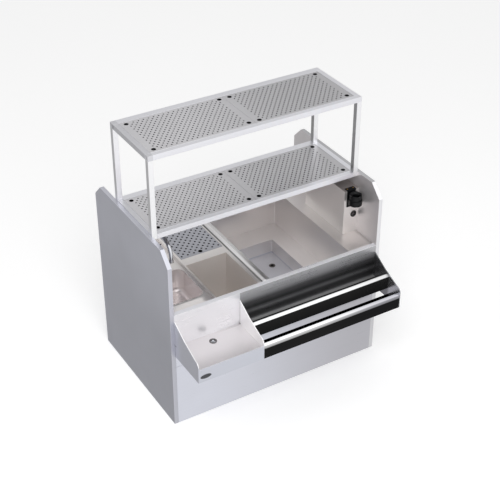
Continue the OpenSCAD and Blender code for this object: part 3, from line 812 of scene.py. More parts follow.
class Tree(Nodes):
    """Builds one Geometry Nodes tree with named inputs."""

    def __init__(self, name: str, numbers: Sequence[str]) -> None:
        """Makes the tree, its geometry sockets and its number inputs.

        Args:
            name: The tree's name.
            numbers: Name of each number input.
        """
        super().__init__(bpy.data.node_groups.new(name, "GeometryNodeTree"))
        panel = self.tree.interface
        for way in ("OUTPUT", "INPUT"):
            panel.new_socket(name="Geometry", in_out=way, socket_type="NodeSocketGeometry")
        self.keys: dict[str, str] = {}
        for number in numbers:
            socket = panel.new_socket(name=number, in_out="INPUT", socket_type="NodeSocketFloat")
            self.keys[number] = socket.identifier
        self.start = self.tree.nodes.new("NodeGroupInput")

    def given(self) -> Socket:
        """The geometry that the tree starts from."""
        return self.start.outputs["Geometry"]

    def number(self, name: str) -> Wire:
        """The value of a named input."""
        return Wire(self, self.start.outputs[name])

    def join(self, *shapes: Socket) -> Socket:
        """Joins geometries.

        Args:
            *shapes: The geometries.

        Returns:
            The joined geometry.
        """
        node = self.tree.nodes.new("GeometryNodeJoinGeometry")
        for shape in reversed(shapes):
            self.tree.links.new(shape, node.inputs[0])
        return node.outputs[0]

    def dress(self, shape: Socket, material: bpy.types.Material) -> Socket:
        """Sets a geometry's material."""
        values = {"Geometry": shape, "Material": material}
        return self.result("GeometryNodeSetMaterial", inputs=values)

    def vector(self, x: Term = 0.0, y: Term = 0.0, z: Term = 0.0) -> Socket:
        """A vector from three numbers."""
        return self.result("ShaderNodeCombineXYZ", inputs={0: x, 1: y, 2: z})

    def moved(self, shape: Socket, way: Socket) -> Socket:
        """Moves a geometry along a vector."""
        values = {"Geometry": shape, "Translation": way}
        return self.result("GeometryNodeTransform", inputs=values)

    def close(self, shape: Socket) -> None:
        """Ends the tree in plain, welded geometry.

        Args:
            shape: The geometry, which may hold instances.
        """
        real = self.result("GeometryNodeRealizeInstances", inputs={0: shape})
        values = {"Geometry": real, "Distance": WELD}
        whole = self.result("GeometryNodeMergeByDistance", inputs=values)
        end = self.tree.nodes.new("NodeGroupOutput")
        self.tree.links.new(whole, end.inputs[0])

    def apply(self, made: bpy.types.Object, values: dict[str, float]) -> bpy.types.Object:
        """Runs the tree on an object and keeps the result as its mesh.

        Args:
            made: The object that the tree starts from.
            values: The named inputs' values.

        Returns:
            The same object with a plain mesh.
        """
        modifier = made.modifiers.new("nodes", "NODES")
        modifier.node_group = self.tree
        for name, value in values.items():
            modifier[self.keys[name]] = float(value)
        return settle(made)


class Helpers:
    """Shapes that trees put in many places. They are removed at the end."""

    made: list[bpy.types.Object] = []

    @classmethod
    def keep(cls, made: bpy.types.Object) -> bpy.types.Object:
        """Hides a helper and notes it.

        Args:
            made: The helper.

        Returns:
            The helper.
        """
        made.hide_render = True
        cls.made.append(made)
        return made

    @classmethod
    def clear(cls) -> None:
        """Removes every helper."""
        for made in cls.made:
            bpy.data.objects.remove(made)
        cls.made.clear()


# ------------------------------------------------------------ repeated and swept


def on_spots(name: str, spots: Sequence[Vector], ways: Sequence[Vector]) -> bpy.types.Object:
    """An object of loose points, each with the way that it faces.

    Args:
        name: The object's name.
        spots: The points.
        ways: The direction that each faces.

    Returns:
        The object.
    """
    mesh = bpy.data.meshes.new(name)
    mesh.from_pydata([tuple(spot) for spot in spots], [], [])
    facing = mesh.attributes.new("facing", "FLOAT_VECTOR", "POINT")
    for index, way in enumerate(ways):
        facing.data[index].vector = way
    return placed(name, mesh)


def islands(node: str) -> list[tuple[Vector, Vector]]:
    """Finds the separate solids of a frame node.

    Args:
        node: The frame node's name.

    Returns:
        Low and high corners of each solid, in order of place.
    """
    shape = welded(node)
    seen: set[bmesh.types.BMVert] = set()
    found = []
    for first in shape.verts:
        if first in seen:
            continue
        group, queue = [], [first]
        seen.add(first)
        while queue:
            vert = queue.pop()
            group.append(vert.co)
            for edge in vert.link_edges:
                other = edge.other_vert(vert)
                if other not in seen:
                    seen.add(other)
                    queue.append(other)
        low = Vector(min(co[i] for co in group) for i in range(3))
        high = Vector(max(co[i] for co in group) for i in range(3))
        found.append((low, high))
    shape.free()
    return sorted(found, key=lambda pair: tuple(round(v, 4) for v in pair[0]))


class Fasteners:
    """Puts one fastener at every place of a frame node's solids."""

    def __init__(self) -> None:
        """Makes the tree: an instance on each point, turned to face its way."""
        tree = self.tree = Tree("fasteners", ["Scale"])
        self.source = tree.add("GeometryNodeObjectInfo")
        way = tree.add(
            "GeometryNodeInputNamedAttribute", {"data_type": "FLOAT_VECTOR"}, {"Name": "facing"}
        ).outputs["Attribute"]
        turn = tree.result("FunctionNodeAlignRotationToVector", {"axis": "Z"}, {"Vector": way})
        size = tree.number("Scale")
        values = {
            "Points": tree.given(),
            "Instance": self.source.outputs["Geometry"],
            "Rotation": turn,
            "Scale": tree.vector(size, size, size),
        }
        tree.close(tree.result("GeometryNodeInstanceOnPoints", inputs=values))

    def place(
        self,
        node: str,
        pattern: bpy.types.Object,
        spots: Sequence[Vector],
        ways: Sequence[Vector],
    ) -> bpy.types.Object:
        """Puts the pattern on each spot, facing its way.

        Args:
            node: The frame node that the fasteners stand for.
            pattern: The fastener, its head towards +Z and its seat at the origin.
            spots: Where each seat is.
            ways: The direction that each head faces.

        Returns:
            The finished fasteners as one object.
        """
        self.source.inputs["Object"].default_value = Helpers.keep(pattern)
        return self.tree.apply(on_spots(f"{node}_set", spots, ways), {"Scale": 1.0})


@dataclass(frozen=True)
class Perforation:
    """Sizes of a tray's hole field, in metres.

    The finger holes stand in from the tray's edges by finger_in, whose X is 0 where
    they stand on the middle line. A collar is the depth of a hole's wall in painted shade.
    """

    hole: float
    pitch: float
    row: float
    margin_x: float
    margin_y: float
    finger: float
    finger_in: Point2
    fingers: int
    collar: float
    finger_collar: float = 0.017
    web: float = 0.003
    rim: float = 0.0006
    wall: float = 0.0008
    sheet: float = 0.002
    fold: float = 0.002


class TrayMaker:
    """Makes folded perforated trays with a Geometry Nodes tree.

    The tree lays out staggered holes, leaves out those near a finger hole, fills
    the sheet round them and puts a flanged rim in each. A rim has FACES sides, and
    its first DARK_BANDS bands carry painted shade. ROOM is the rounding allowed in a row.
    """

    FACES = 24
    DARK_BANDS = 3
    CORNER_FACES = 4
    ROOM = 1e-4

    def __init__(self, steel: bpy.types.Material, shade: bpy.types.Material) -> None:
        """Keeps the materials and makes the tree.

        Args:
            steel: Material of the sheet.
            shade: Material of the holes' rims and walls, a painted shade.
        """
        self.steel = steel
        self.shade = shade
        self.tree = Tree(
            "perforated_tray",
            [
                "Width", "Depth", "Hole", "Pitch", "Row", "Margin X", "Margin Y",
                "Finger", "Finger X", "Finger Y", "Fingers", "Web", "Rim", "Wall",
                "Sheet", "Fold", "Centre X", "Centre Y", "Top",
            ],
        )
        self.hole_ring = self.tree.add("GeometryNodeObjectInfo")
        self.finger_ring = self.tree.add("GeometryNodeObjectInfo")
        self.draw()

    def steps(self, length: str, margin: str, step: str) -> Wire:
        """Number of steps that fit in a length between its margins.

        Args:
            length: The input that gives the length.
            margin: The input that gives each margin.
            step: The input that gives one step.

        Returns:
            A whole number.
        """
        number = self.tree.number
        room = number(length) - number(margin) * 2.0
        return self.tree.math("FLOOR", room / number(step) + self.ROOM)

    def index(self) -> Wire:
        """The number of the point in its row of points."""
        return Wire(self.tree, self.tree.result("GeometryNodeInputIndex"))

    def without(self, points: Socket, chosen: Wire) -> Socket:
        """The points without those that a test chooses."""
        values = {"Geometry": points, "Selection": chosen}
        return self.tree.result("GeometryNodeDeleteGeometry", {"domain": "POINT"}, values)

    def hole_points(self) -> Socket:
        """Staggered points of the hole field, clear of the finger holes.

        Returns:
            The points.
        """
        tree, number = self.tree, self.tree.number
        across = self.steps("Width", "Margin X", "Pitch")
        along = self.steps("Depth", "Margin Y", "Row")
        columns = across + 1.0
        index = self.index()
        row = tree.math("FLOOR", (index + 0.5) / columns)
        column = index - row * columns
        odd = tree.math("MODULO", row, 2.0)
        x = (column + odd * 0.5 - across * 0.5) * number("Pitch")
        y = (row - along * 0.5) * number("Row")
        values = {"Count": columns * (along + 1.0), "Position": tree.vector(x, y)}
        points = tree.result("GeometryNodePoints", inputs=values)
        # An odd row holds one hole less. This test reads the index, so it runs first.
        spare = tree.math("GREATER_THAN", odd * column, across - 0.5)
        spots = tree.axes(tree.result("GeometryNodeInputPosition"))
        off_x = tree.math("ABSOLUTE", spots[0]) - number("Finger X")
        off_y = tree.math("ABSOLUTE", spots[1]) - number("Finger Y")
        far = tree.math("SQRT", off_x * off_x + off_y * off_y)
        near = tree.math("LESS_THAN", far, number("Finger") + number("Hole") + number("Web"))
        return self.without(self.without(points, spare), near)

    def finger_points(self) -> Socket:
        """Points of the finger holes, mirrored about the tray's middle.

        Returns:
            The points.
        """
        tree = self.tree
        index = self.index()
        sides = (tree.math("FLOOR", (index + 0.5) * 0.5), tree.math("MODULO", index, 2.0))
        names = ("Finger X", "Finger Y")
        x, y = ((side * 2.0 - 1.0) * tree.number(name) for side, name in zip(sides, names))
        values = {"Count": tree.number("Fingers"), "Position": tree.vector(x, y)}
        return tree.result("GeometryNodePoints", inputs=values)

    def on_points(self, points: Socket, shape: Socket) -> Socket:
        """Puts a geometry on each point."""
        values = {"Points": points, "Instance": shape}
        return self.tree.result("GeometryNodeInstanceOnPoints", inputs=values)

    def sheet_side(self, holes: Socket, fingers: Socket, inset: str, grow: str) -> Socket:
        """One flat side of the sheet with every hole cut out.

        Args:
            holes: Points of the small holes.
            fingers: Points of the finger holes.
            inset: Input that says how far the side's outline stands in.
            grow: Input that widens each hole on this side.

        Returns:
            The filled side, facing up at height 0.
        """
        tree, number = self.tree, self.tree.number
        loops = []
        for points, radius in ((holes, "Hole"), (fingers, "Finger")):
            values = {"Resolution": self.FACES, "Radius": number(radius) + number(grow)}
            circle = tree.result("GeometryNodeCurvePrimitiveCircle", {"mode": "RADIUS"}, values)
            loops.append(self.on_points(points, circle))
        sizes = [number(side) - number(inset) * 2.0 for side in ("Width", "Depth")]
        values = {"Width": sizes[0], "Height": sizes[1]}
        edge = tree.result("GeometryNodeCurvePrimitiveQuadrilateral", inputs=values)
        curves = tree.result("GeometryNodeRealizeInstances", inputs={0: tree.join(edge, *loops)})
        return tree.result("GeometryNodeFillCurve", inputs={"Curve": curves})

    def draw(self) -> None:
        """Draws the whole tree."""
        tree, number = self.tree, self.tree.number
        holes = self.hole_points()
        fingers = self.finger_points()
        top = self.sheet_side(holes, fingers, "Fold", "Rim")
        below = self.sheet_side(holes, fingers, "Sheet", "Wall")
        under = tree.result("GeometryNodeFlipFaces", inputs={0: below})
        low = tree.moved(under, tree.vector(z=number("Sheet") * -1.0))
        rims = self.on_points(holes, self.hole_ring.outputs["Geometry"])
        grips = self.on_points(fingers, self.finger_ring.outputs["Geometry"])
        values = {"Geometry": tree.join(top, low), "Shade Smooth": False}
        flat = tree.result("GeometryNodeSetShadeSmooth", inputs=values)
        sheet = tree.dress(tree.join(flat, tree.given()), self.steel)
        centre = tree.vector(number("Centre X"), number("Centre Y"), number("Top"))
        tree.close(tree.moved(tree.join(sheet, rims, grips), centre))

    def ring(self, name: str, radius: float, deep: float, plan: Perforation) -> bpy.types.Object:
        """A hole's rounded rim and wall in painted shade, and a short flange, open where the sheet
        joins it.

        Args:
            name: The object's name.
            radius: The hole's radius.
            deep: Depth of the wall in painted shade.
            plan: The tray's hole field.

        Returns:
            The hidden object that the tree puts in each hole.
        """
        half = plan.rim * (1 - math.sqrt(0.5))
        outside = radius + plan.wall
        profile = [
            (radius + plan.rim, 0.0), (radius + half, -half), (radius, -plan.rim),
            (radius, -deep), (outside, -deep), (outside, -plan.sheet),
        ]
        made = to_object(name, lathe(profile, steps=self.FACES, closed=False))
        made.data.materials.append(self.steel)
        made.data.materials.append(self.shade)
        for index, face in enumerate(made.data.polygons):
            # The rim and wall bands take the painted shade.
            face.material_index = 1 if index // self.FACES < self.DARK_BANDS else 0
        return Helpers.keep(made)

    def make(self, node: str, plan: Perforation) -> bpy.types.Object:
        """Makes the tray that stands for a frame node.

        Args:
            node: The frame node.
            plan: Its hole field.

        Returns:
            The tray as one closed mesh.
        """
        low, high = (Vector(corner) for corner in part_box(node))
        wide, deep, edge = high - low
        fold = plan.fold
        faces = self.CORNER_FACES
        turns = (math.radians(90 * i / faces) for i in range(faces + 1))
        curve = [
            (fold * (1 - math.cos(a)), fold * (math.sin(a) - 1), fold * math.cos(a)) for a in turns
        ]
        inside = [(plan.sheet, -plan.sheet, 0.0), (plan.sheet, -edge, 0.0), (0.0, -edge, fold)]
        loft = box_loft((wide / 2, deep / 2), [*inside, *curve], faces)
        skirt = to_object(f"{node}_tray", loft)
        for source, kind, radius, collar in (
            (self.hole_ring, "rim", plan.hole, plan.collar),
            (self.finger_ring, "grip", plan.finger, plan.finger_collar),
        ):
            ring = self.ring(f"{node}_{kind}", radius, collar, plan)
            source.inputs["Object"].default_value = ring
        centre = (low + high) / 2
        in_x, in_y = plan.finger_in
        values = {
            "Width": wide, "Depth": deep, "Hole": plan.hole, "Pitch": plan.pitch,
            "Row": plan.row, "Margin X": plan.margin_x, "Margin Y": plan.margin_y,
            "Finger": plan.finger, "Finger X": wide / 2 - in_x if in_x else 0.0,
            "Finger Y": deep / 2 - in_y, "Fingers": plan.fingers, "Web": plan.web,
            "Rim": plan.rim, "Wall": plan.wall, "Sheet": plan.sheet, "Fold": fold,
            "Centre X": centre.x, "Centre Y": centre.y, "Top": high.z,
        }
        return self.tree.apply(skirt, values)


@dataclass
class Spout:
    """Swivel spout: a bent tube with a collar at its foot.

    The collar is (thickness, height), and its rounds are (foot, top).
    """

    reach: float = 0.288
    rise: float = 0.273
    bend: float = 0.085
    drop: float = 0.018
    tube: float = 0.011
    foot: float = 0.0123
    seat: float = 0.0383
    collar: Point2 = (0.005, 0.010)
    collar_rounds: Point2 = (0.001, 0.003)
    overlap: float = 0.001

    def band(self, foot: Point3) -> bpy.types.Object:
        """The collar round the tube, over the spout's foot.

        Args:
            foot: The foot's place.

        Returns:
            The hidden object that the tree takes it from.
        """
        inner = self.tube - self.overlap
        wide, high = self.tube + self.collar[0], self.collar[1]
        low, top = self.collar_rounds
        profile = [
            (inner, 0.0), (wide - low, 0.0), *arc((wide - low, low), low, -90, 0, 3),
            *arc((wide - top, high - top), top, 0, 90, 4), (inner, high),
        ]
        seat = Vector((foot[0], foot[1], foot[2] + self.seat))
        return Helpers.keep(to_object("spout_band", lathe(profile, seat)))

    def make(self, foot: Point3, material: bpy.types.Material) -> bpy.types.Object:
        """Makes the spout.

        Args:
            foot: Where its foot's axis starts.
            material: Its metal.

        Returns:
            The tube and its collar as one object.
        """
        tree = Tree("spout", ["Bend", "Tube"])
        line = tree.result("GeometryNodeMeshToCurve", inputs={"Mesh": tree.given()})
        values = {"Curve": line, "Count": 18, "Radius": tree.number("Bend")}
        bent = tree.result("GeometryNodeFilletCurve", {"mode": "POLY"}, values)
        values = {"Resolution": 36, "Radius": tree.number("Tube")}
        ring = tree.result("GeometryNodeCurvePrimitiveCircle", {"mode": "RADIUS"}, values)
        values = {"Curve": bent, "Profile Curve": ring, "Fill Caps": True}
        tube = tree.result("GeometryNodeCurveToMesh", inputs=values)
        band = tree.add("GeometryNodeObjectInfo", inputs={"Object": self.band(foot)})
        tree.close(tree.dress(tree.join(tube, band.outputs["Geometry"]), material))
        down = self.rise - self.bend - self.drop
        stops = (
            (0.0, self.foot), (0.0, self.rise), (self.reach, self.rise), (self.reach, down),
        )
        points = [(foot[0], foot[1] - out, foot[2] + up) for out, up in stops]
        mesh = bpy.data.meshes.new("spout_line")
        mesh.from_pydata(points, [(0, 1), (1, 2), (2, 3)], [])
        made = placed("swivel_spout", mesh)
        return tree.apply(made, {"Bend": self.bend, "Tube": self.tube})


def coved(
    node: str, name: str, width: float, cove: float, heights: Sequence[float]
) -> bpy.types.Object:
    """A round-edged copy whose inner corners at some heights are coved.

    Args:
        node: The frame node's name.
        name: The new object's name.
        width: Width of its round edges.
        cove: Radius of the coves.
        heights: Heights at which inner corners get a cove, each to half a millimetre.

    Returns:
        The new object.
    """
    shape = faced(node)
    inner = [
        edge
        for edge in shape.edges
        if len(edge.link_faces) == 2
        and not edge.is_convex
        and edge.calc_face_angle(0.0) > CORNER_ANGLE
        and any(all(abs(vert.co.z - height) < 0.0005 for vert in edge.verts) for height in heights)
    ]
    bmesh.ops.bevel(
        shape,
        geom=inner,
        offset=cove,
        offset_type="OFFSET",
        segments=5,
        profile=0.5,
        affect="EDGES",
        clamp_overlap=True,
    )
    return round_edges(to_object(name, shape), width)


# ------------------------------------------------------------------ the station


class Station:
    """Knows each node's body and slot, and hands in finished pieces."""

    def __init__(self) -> None:
        """Reads the frame's bodies and material slots."""
        record = frame["record"]
        self.slots = {part["node"]: part["material_slot"] for part in record["subparts"]}
        bodies = record["behaviour"]["bodies"]
        self.bodies = {node: body for body, nodes in bodies.items() for node in nodes}
        self.left = set(frame["nodes"])

    def hand_in(
        self, piece: bpy.types.Object, material: Optional[bpy.types.Material], *nodes: str
    ) -> None:
        """Dresses a piece and lets it stand for frame nodes.

        Args:
            piece: The finished piece.
            material: Its material, or None if it has one.
            *nodes: The frame nodes that it stands for, on one body.
        """
        if material is not None:
            piece.data.materials.clear()
            piece.data.materials.append(material)
        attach(piece, self.bodies[nodes[0]])
        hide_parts(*nodes)
        self.left -= set(nodes)
        LOG.info("%s: %d faces, for %s", piece.name, len(piece.data.polygons), ", ".join(nodes))

    def copies(self, material: bpy.types.Material, width: float, *nodes: str) -> None:
        """Hands in a round-edged copy of each node."""
        for node in nodes:
            self.hand_in(copy_of(node, f"{node}_sheet", width), material, node)

    def report_left(self) -> None:
        """Warns of nodes that nothing stands for."""
        for node in sorted(self.left):
            LOG.warning("%s still shows as the frame's node", node)


@dataclass
class Cabinet:
    """Side panels, back, rails and the front sheets."""

    panel_round: float = 0.0012
    sheet_round: float = 0.0006
    left: BrushedSteel = BrushedSteel(
        "left_panel_steel", "#D2D3DC", Grain.ALONG_Z, 0.36,
        # Painted shade: darker towards the bottom.
        tints=(Tint(Z, ((0.5, 0.88), (1.0, 1.0))),),
    )
    right: BrushedSteel = BrushedSteel(
        "right_panel_steel", "#EFEFF2", Grain.ALONG_Z, 0.36, metallic=0.7,
        # Painted shade: the inner face darker and warmer, darker above 1.1388 m, and the outer
        # face darker towards the bottom.
        tints=(
            Tint(X, ((0.6612, (0.80, 0.77, 0.76)), (0.6630, 1.0))),
            Tint(Z, ((1.1384, 1.0), (1.1388, 0.62))),
            Tint(Z, ((0.45, 0.80), (0.60, 1.0)), ((X, 0.6612, 0.6630),)),
        ),
    )
    front: BrushedSteel = BrushedSteel(
        "front_panel_steel", "#E2E4EE", Grain.ALONG_X, 0.32,
        # Painted shade: darker towards the right.
        tints=(Tint(X, ((-0.55, 1.0), (0.6, (0.72, 0.70, 0.68)))),),
    )
    apron: BrushedSteel = BrushedSteel(
        "apron_steel", "#F0F0F4", Grain.ALONG_X, 0.3, 0.05, 0.04, metallic=0.75,
        # Painted reflection of the bottle rail on the apron right of the dump basin: dark and grey
        # bands up its height, lighter towards the top edge.
        tints=(
            Tint(
                Z,
                (
                    (0.549, 0.30), (0.563, 0.08), (0.590, 0.06), (0.609, 0.18), (0.634, 0.045),
                    (0.662, 0.12), (0.704, 0.50), (0.7535, 0.58), (0.7545, 1.0),
                ),
                ((X, -0.2548, -0.2538),),
            ),
        ),
        # Painted highlight: the top edge made less metallic so that it reads lighter, more so on
        # the left.
        matts=(
            Matt(0.35, ((Z, 0.7542, 0.7546),)),
            Matt(0.2, ((Z, 0.7542, 0.7546), (X, -0.25, -0.45))),
        ),
    )

    def build(self, station: Station) -> None:
        """Builds and hands in the cabinet's pieces.

        Args:
            station: Takes the finished pieces.
        """
        left = self.left.make()
        station.copies(left, self.panel_round, "left_side_panel")
        station.copies(self.right.make(), self.panel_round, "right_side_panel")
        thin = self.sheet_round
        station.copies(left, thin, "back_panel", "base_front_rail", "base_rear_rail")
        station.copies(self.front.make(), thin, "front_access_panel", "front_upper_panel")
        station.copies(self.apron.make(), thin, "front_apron")


@dataclass
class Deck:
    """Deck sheets, wells, the ice bin and the riser box."""

    sheet: float = 0.002
    sheet_round: float = 0.0006
    cove: float = 0.006
    bin_floors: Point2 = (0.416, 0.512)
    steel: BrushedSteel = BrushedSteel(
        "deck_sheet_steel", "#EEEAE8", Grain.ALONG_X, 0.38,
        # Painted highlight: the sink deck's front left strip made less metallic so that it reads
        # lighter.
        matts=(Matt(0.12, ((Y, -0.215, -0.225), (X, -0.42, -0.46))),),
    )
    side: BrushedSteel = BrushedSteel(
        "side_deck_steel", "#EAE6E4", Grain.ALONG_Y, 0.38, metallic=0.95,
        # Painted shade: darker towards the back and towards the right.
        tints=(
            Tint(Y, ((-0.30, 1.0), (0.15, 0.86))),
            Tint(X, ((0.635, 1.0), (0.657, 0.76))),
        ),
    )
    liner: BrushedSteel = BrushedSteel(
        "liner_steel", "#E8E4E3", Grain.ALONG_Y, 0.38, metallic=0.85,
        # Painted shade, bluish, on the pit floor below 0.421 m.
        tints=(Tint(Z, ((0.421, (0.76, 0.80, 0.87)), (0.424, 1.0))),),
    )
    well: BrushedSteel = BrushedSteel(
        "open_well_steel", "#DDD7D3", Grain.ALONG_Y, 0.40, metallic=0.45
    )
    bowl: BrushedSteel = BrushedSteel(
        "sink_bowl_steel", "#F8F4F3", Grain.ALONG_Y, 0.22, metallic=0.55,
        # Painted shade: darker and warmer towards the right. Painted highlight: the left wall and
        # the front made less metallic so that they read lighter.
        tints=(Tint(X, ((-0.600, 1.0), (-0.52, (0.86, 0.83, 0.83)))),),
        matts=(Matt(0.1, ((X, -0.585, -0.61),)), Matt(0.1, ((Y, -0.228, -0.236),))),
    )
    riser: BrushedSteel = BrushedSteel(
        "riser_box_steel", "#F4F0EE", Grain.ALONG_Z, 0.38, metallic=0.85,
        # Painted shade: the front face a little darker. Painted shadow: the top dark brown.
        tints=(
            Tint(Y, ((-0.1160, 0.93), (-0.1150, 1.0))),
            Tint(Z, ((1.0424, 1.0), (1.0428, (0.60, 0.57, 0.55)))),
        ),
    )
    bar: BrushedSteel = BrushedSteel(
        "raised_bar_steel", "#FFFBFC", Grain.ALONG_Y, 0.3, metallic=0.9,
        # Painted highlight and shade: darker low down, a bright left edge darkening to the right,
        # darker towards the front; the left edge is also made less metallic to read lighter.
        tints=(
            Tint(Z, ((0.7548, 0.50), (0.7562, 1.0))),
            Tint(X, ((-0.0760, 1.0), (-0.0640, 0.70))),
            Tint(Y, ((-0.30, 0.68), (0.05, 1.0))),
        ),
        matts=(Matt(0.15, ((X, -0.0700, -0.0760),)),),
    )
    # Painted shade: the drain rings dark grey.
    drain: BrushedSteel = BrushedSteel("drain_ring_steel", "#6E6B6B", Grain.ALONG_X, 0.3)
    foam: Moulded = Moulded("foam_block", "#D9CFA8", 0.9, 300.0, 0.0004)

    def build(self, station: Station) -> None:
        """Builds and hands in the deck's pieces.

        Args:
            station: Takes the finished pieces.
        """
        steel = self.steel.make()
        thin = self.sheet_round
        station.copies(steel, thin, "sink_deck", "center_deck")
        station.copies(self.side.make(), thin, "bin_deck", "right_landing")
        station.copies(self.bar.make(), thin, "bin_bar")
        liner = coved("ice_bin_liner", "stepped_liner", thin, self.cove, self.bin_floors)
        station.hand_in(liner, self.liner.make(), "ice_bin_liner")
        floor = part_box("bottle_well")[0][2] + self.sheet
        well = coved("bottle_well", "open_well", thin, self.cove, (floor,))
        station.hand_in(well, self.well.make(), "bottle_well")
        station.copies(self.riser.make(), thin, "riser_box")
        station.copies(self.bowl.make(), thin, "sink_bowl")
        station.copies(steel, thin, "drip_pan", "ice_bin_shell")
        station.copies(self.drain.make(), thin, "ice_bin_drain", "basin_drain")
        station.copies(self.foam.make(), 0.0, "ice_bin_foam")


@dataclass
class Front:
    """Dump basin and bottle rail."""

    sheet_round: float = 0.0006
    basin_floor: float = 0.549
    basin_cove: float = 0.004
    lip: str = "#FAFAFC"
    # Levels of the painted dark reflection on the troughs.
    dark_reflection: float = 0.045
    dark_reflection_front: float = 0.012
    bright: BrushedSteel = BrushedSteel(
        "basin_steel", "#FDFCFD", Grain.ALONG_X, 0.36, metallic=0.85,
        # Painted shade: the outer left and front faces darker and bluish, the floor darker and
        # warmer, a dark line along the back cove, and the back darker towards the right.
        tints=(
            Tint(X, ((-0.6604, (0.61, 0.62, 0.68)), (-0.6600, 1.0))),
            Tint(Y, ((-0.5732, (0.68, 0.70, 0.77)), (-0.5726, 1.0))),
            Tint(
                Z, ((0.5500, (0.77, 0.74, 0.74)), (0.5535, 1.0)),
                ((Y, -0.5726, -0.5718), (X, -0.6600, -0.6590)),
            ),
            Tint(
                Z, ((0.5494, 1.0), (0.5502, 0.22), (0.5555, 0.22), (0.5565, 1.0)),
                ((Y, -0.3300, -0.3250),),
            ),
            Tint(X, ((-0.46, 1.0), (-0.270, 0.80)), ((Y, -0.3350, -0.3250),)),
        ),
    )
    wall: BrushedSteel = BrushedSteel(
        "end_wall_steel", "#D8D8DC", Grain.ALONG_Y, 0.24, metallic=0.9,
        # Painted shade: darker towards the back.
        tints=(Tint(Y, ((-0.475, 0.80), (-0.450, 0.34))),),
    )

    def rear(self) -> BrushedSteel:
        """Polished steel, bright on the rear trough's lip, near-black on its face as a painted
        reflection.

        Returns:
            The finish.
        """
        # Painted reflection: near-black on the face below the lip and on the back of the roll.
        # Painted shade: near-black on the floor, grey further back, and greyer to the right.
        dark = ((0.6172, self.dark_reflection), (0.6190, 1.0))
        floor = ((-0.3580, 1.0), (-0.3560, self.dark_reflection), (-0.3375, self.dark_reflection), (-0.3345, 0.42))
        roll = ((-0.4415, 1.0), (-0.4400, self.dark_reflection))
        far = ((0.30, 1.0), (0.62, 0.80))
        return BrushedSteel(
            "rear_rail_steel", self.lip, Grain.ALONG_X, 0.16, 0.04, 0.04, metallic=0.5,
            tints=(
                Tint(Z, dark, ((Y, -0.4552, -0.4558),)),
                Tint(Y, floor, ((Z, 0.5508, 0.5496),)),
                Tint(Y, roll, ((Z, 0.6000, 0.6010),)),
                Tint(X, far),
            ),
        )

    def front(self) -> BrushedSteel:
        """The same for the front trough, with near-black painted reflection inside too and grey on
        its front face below the lip.

        Returns:
            The finish.
        """
        dark = (
            (0.5400, self.dark_reflection_front), (0.5412, 0.36), (0.5480, 0.44), (0.5535, 0.52),
            (0.5575, 1.0),
        )
        inside = ((0.5400, self.dark_reflection_front), (0.5412, 1.0))
        # Painted shade: greyer towards the right.
        far = ((0.05, 1.0), (0.60, (0.56, 0.56, 0.60)))
        return BrushedSteel(
            "front_rail_steel", self.lip, Grain.ALONG_X, 0.16, 0.04, 0.04, metallic=0.95,
            tints=(
                Tint(Z, dark, ((Y, -0.5560, -0.5640),)),
                Tint(Z, inside, ((Y, -0.5706, -0.5700),)),
                Tint(X, far),
            ),
        )

    def build(self, station: Station) -> None:
        """Builds and hands in the basin and the rail.

        Args:
            station: Takes the finished pieces.
        """
        thin = self.sheet_round
        floor = (self.basin_floor,)
        basin = coved("dump_basin", "dump_basin_sheet", thin, self.basin_cove, floor)
        station.hand_in(basin, self.bright.make(), "dump_basin")
        station.copies(self.wall.make(), thin, "rail_end_wall")
        station.copies(self.rear().make(), thin, "rear_trough")
        station.copies(self.front().make(), thin, "front_trough")


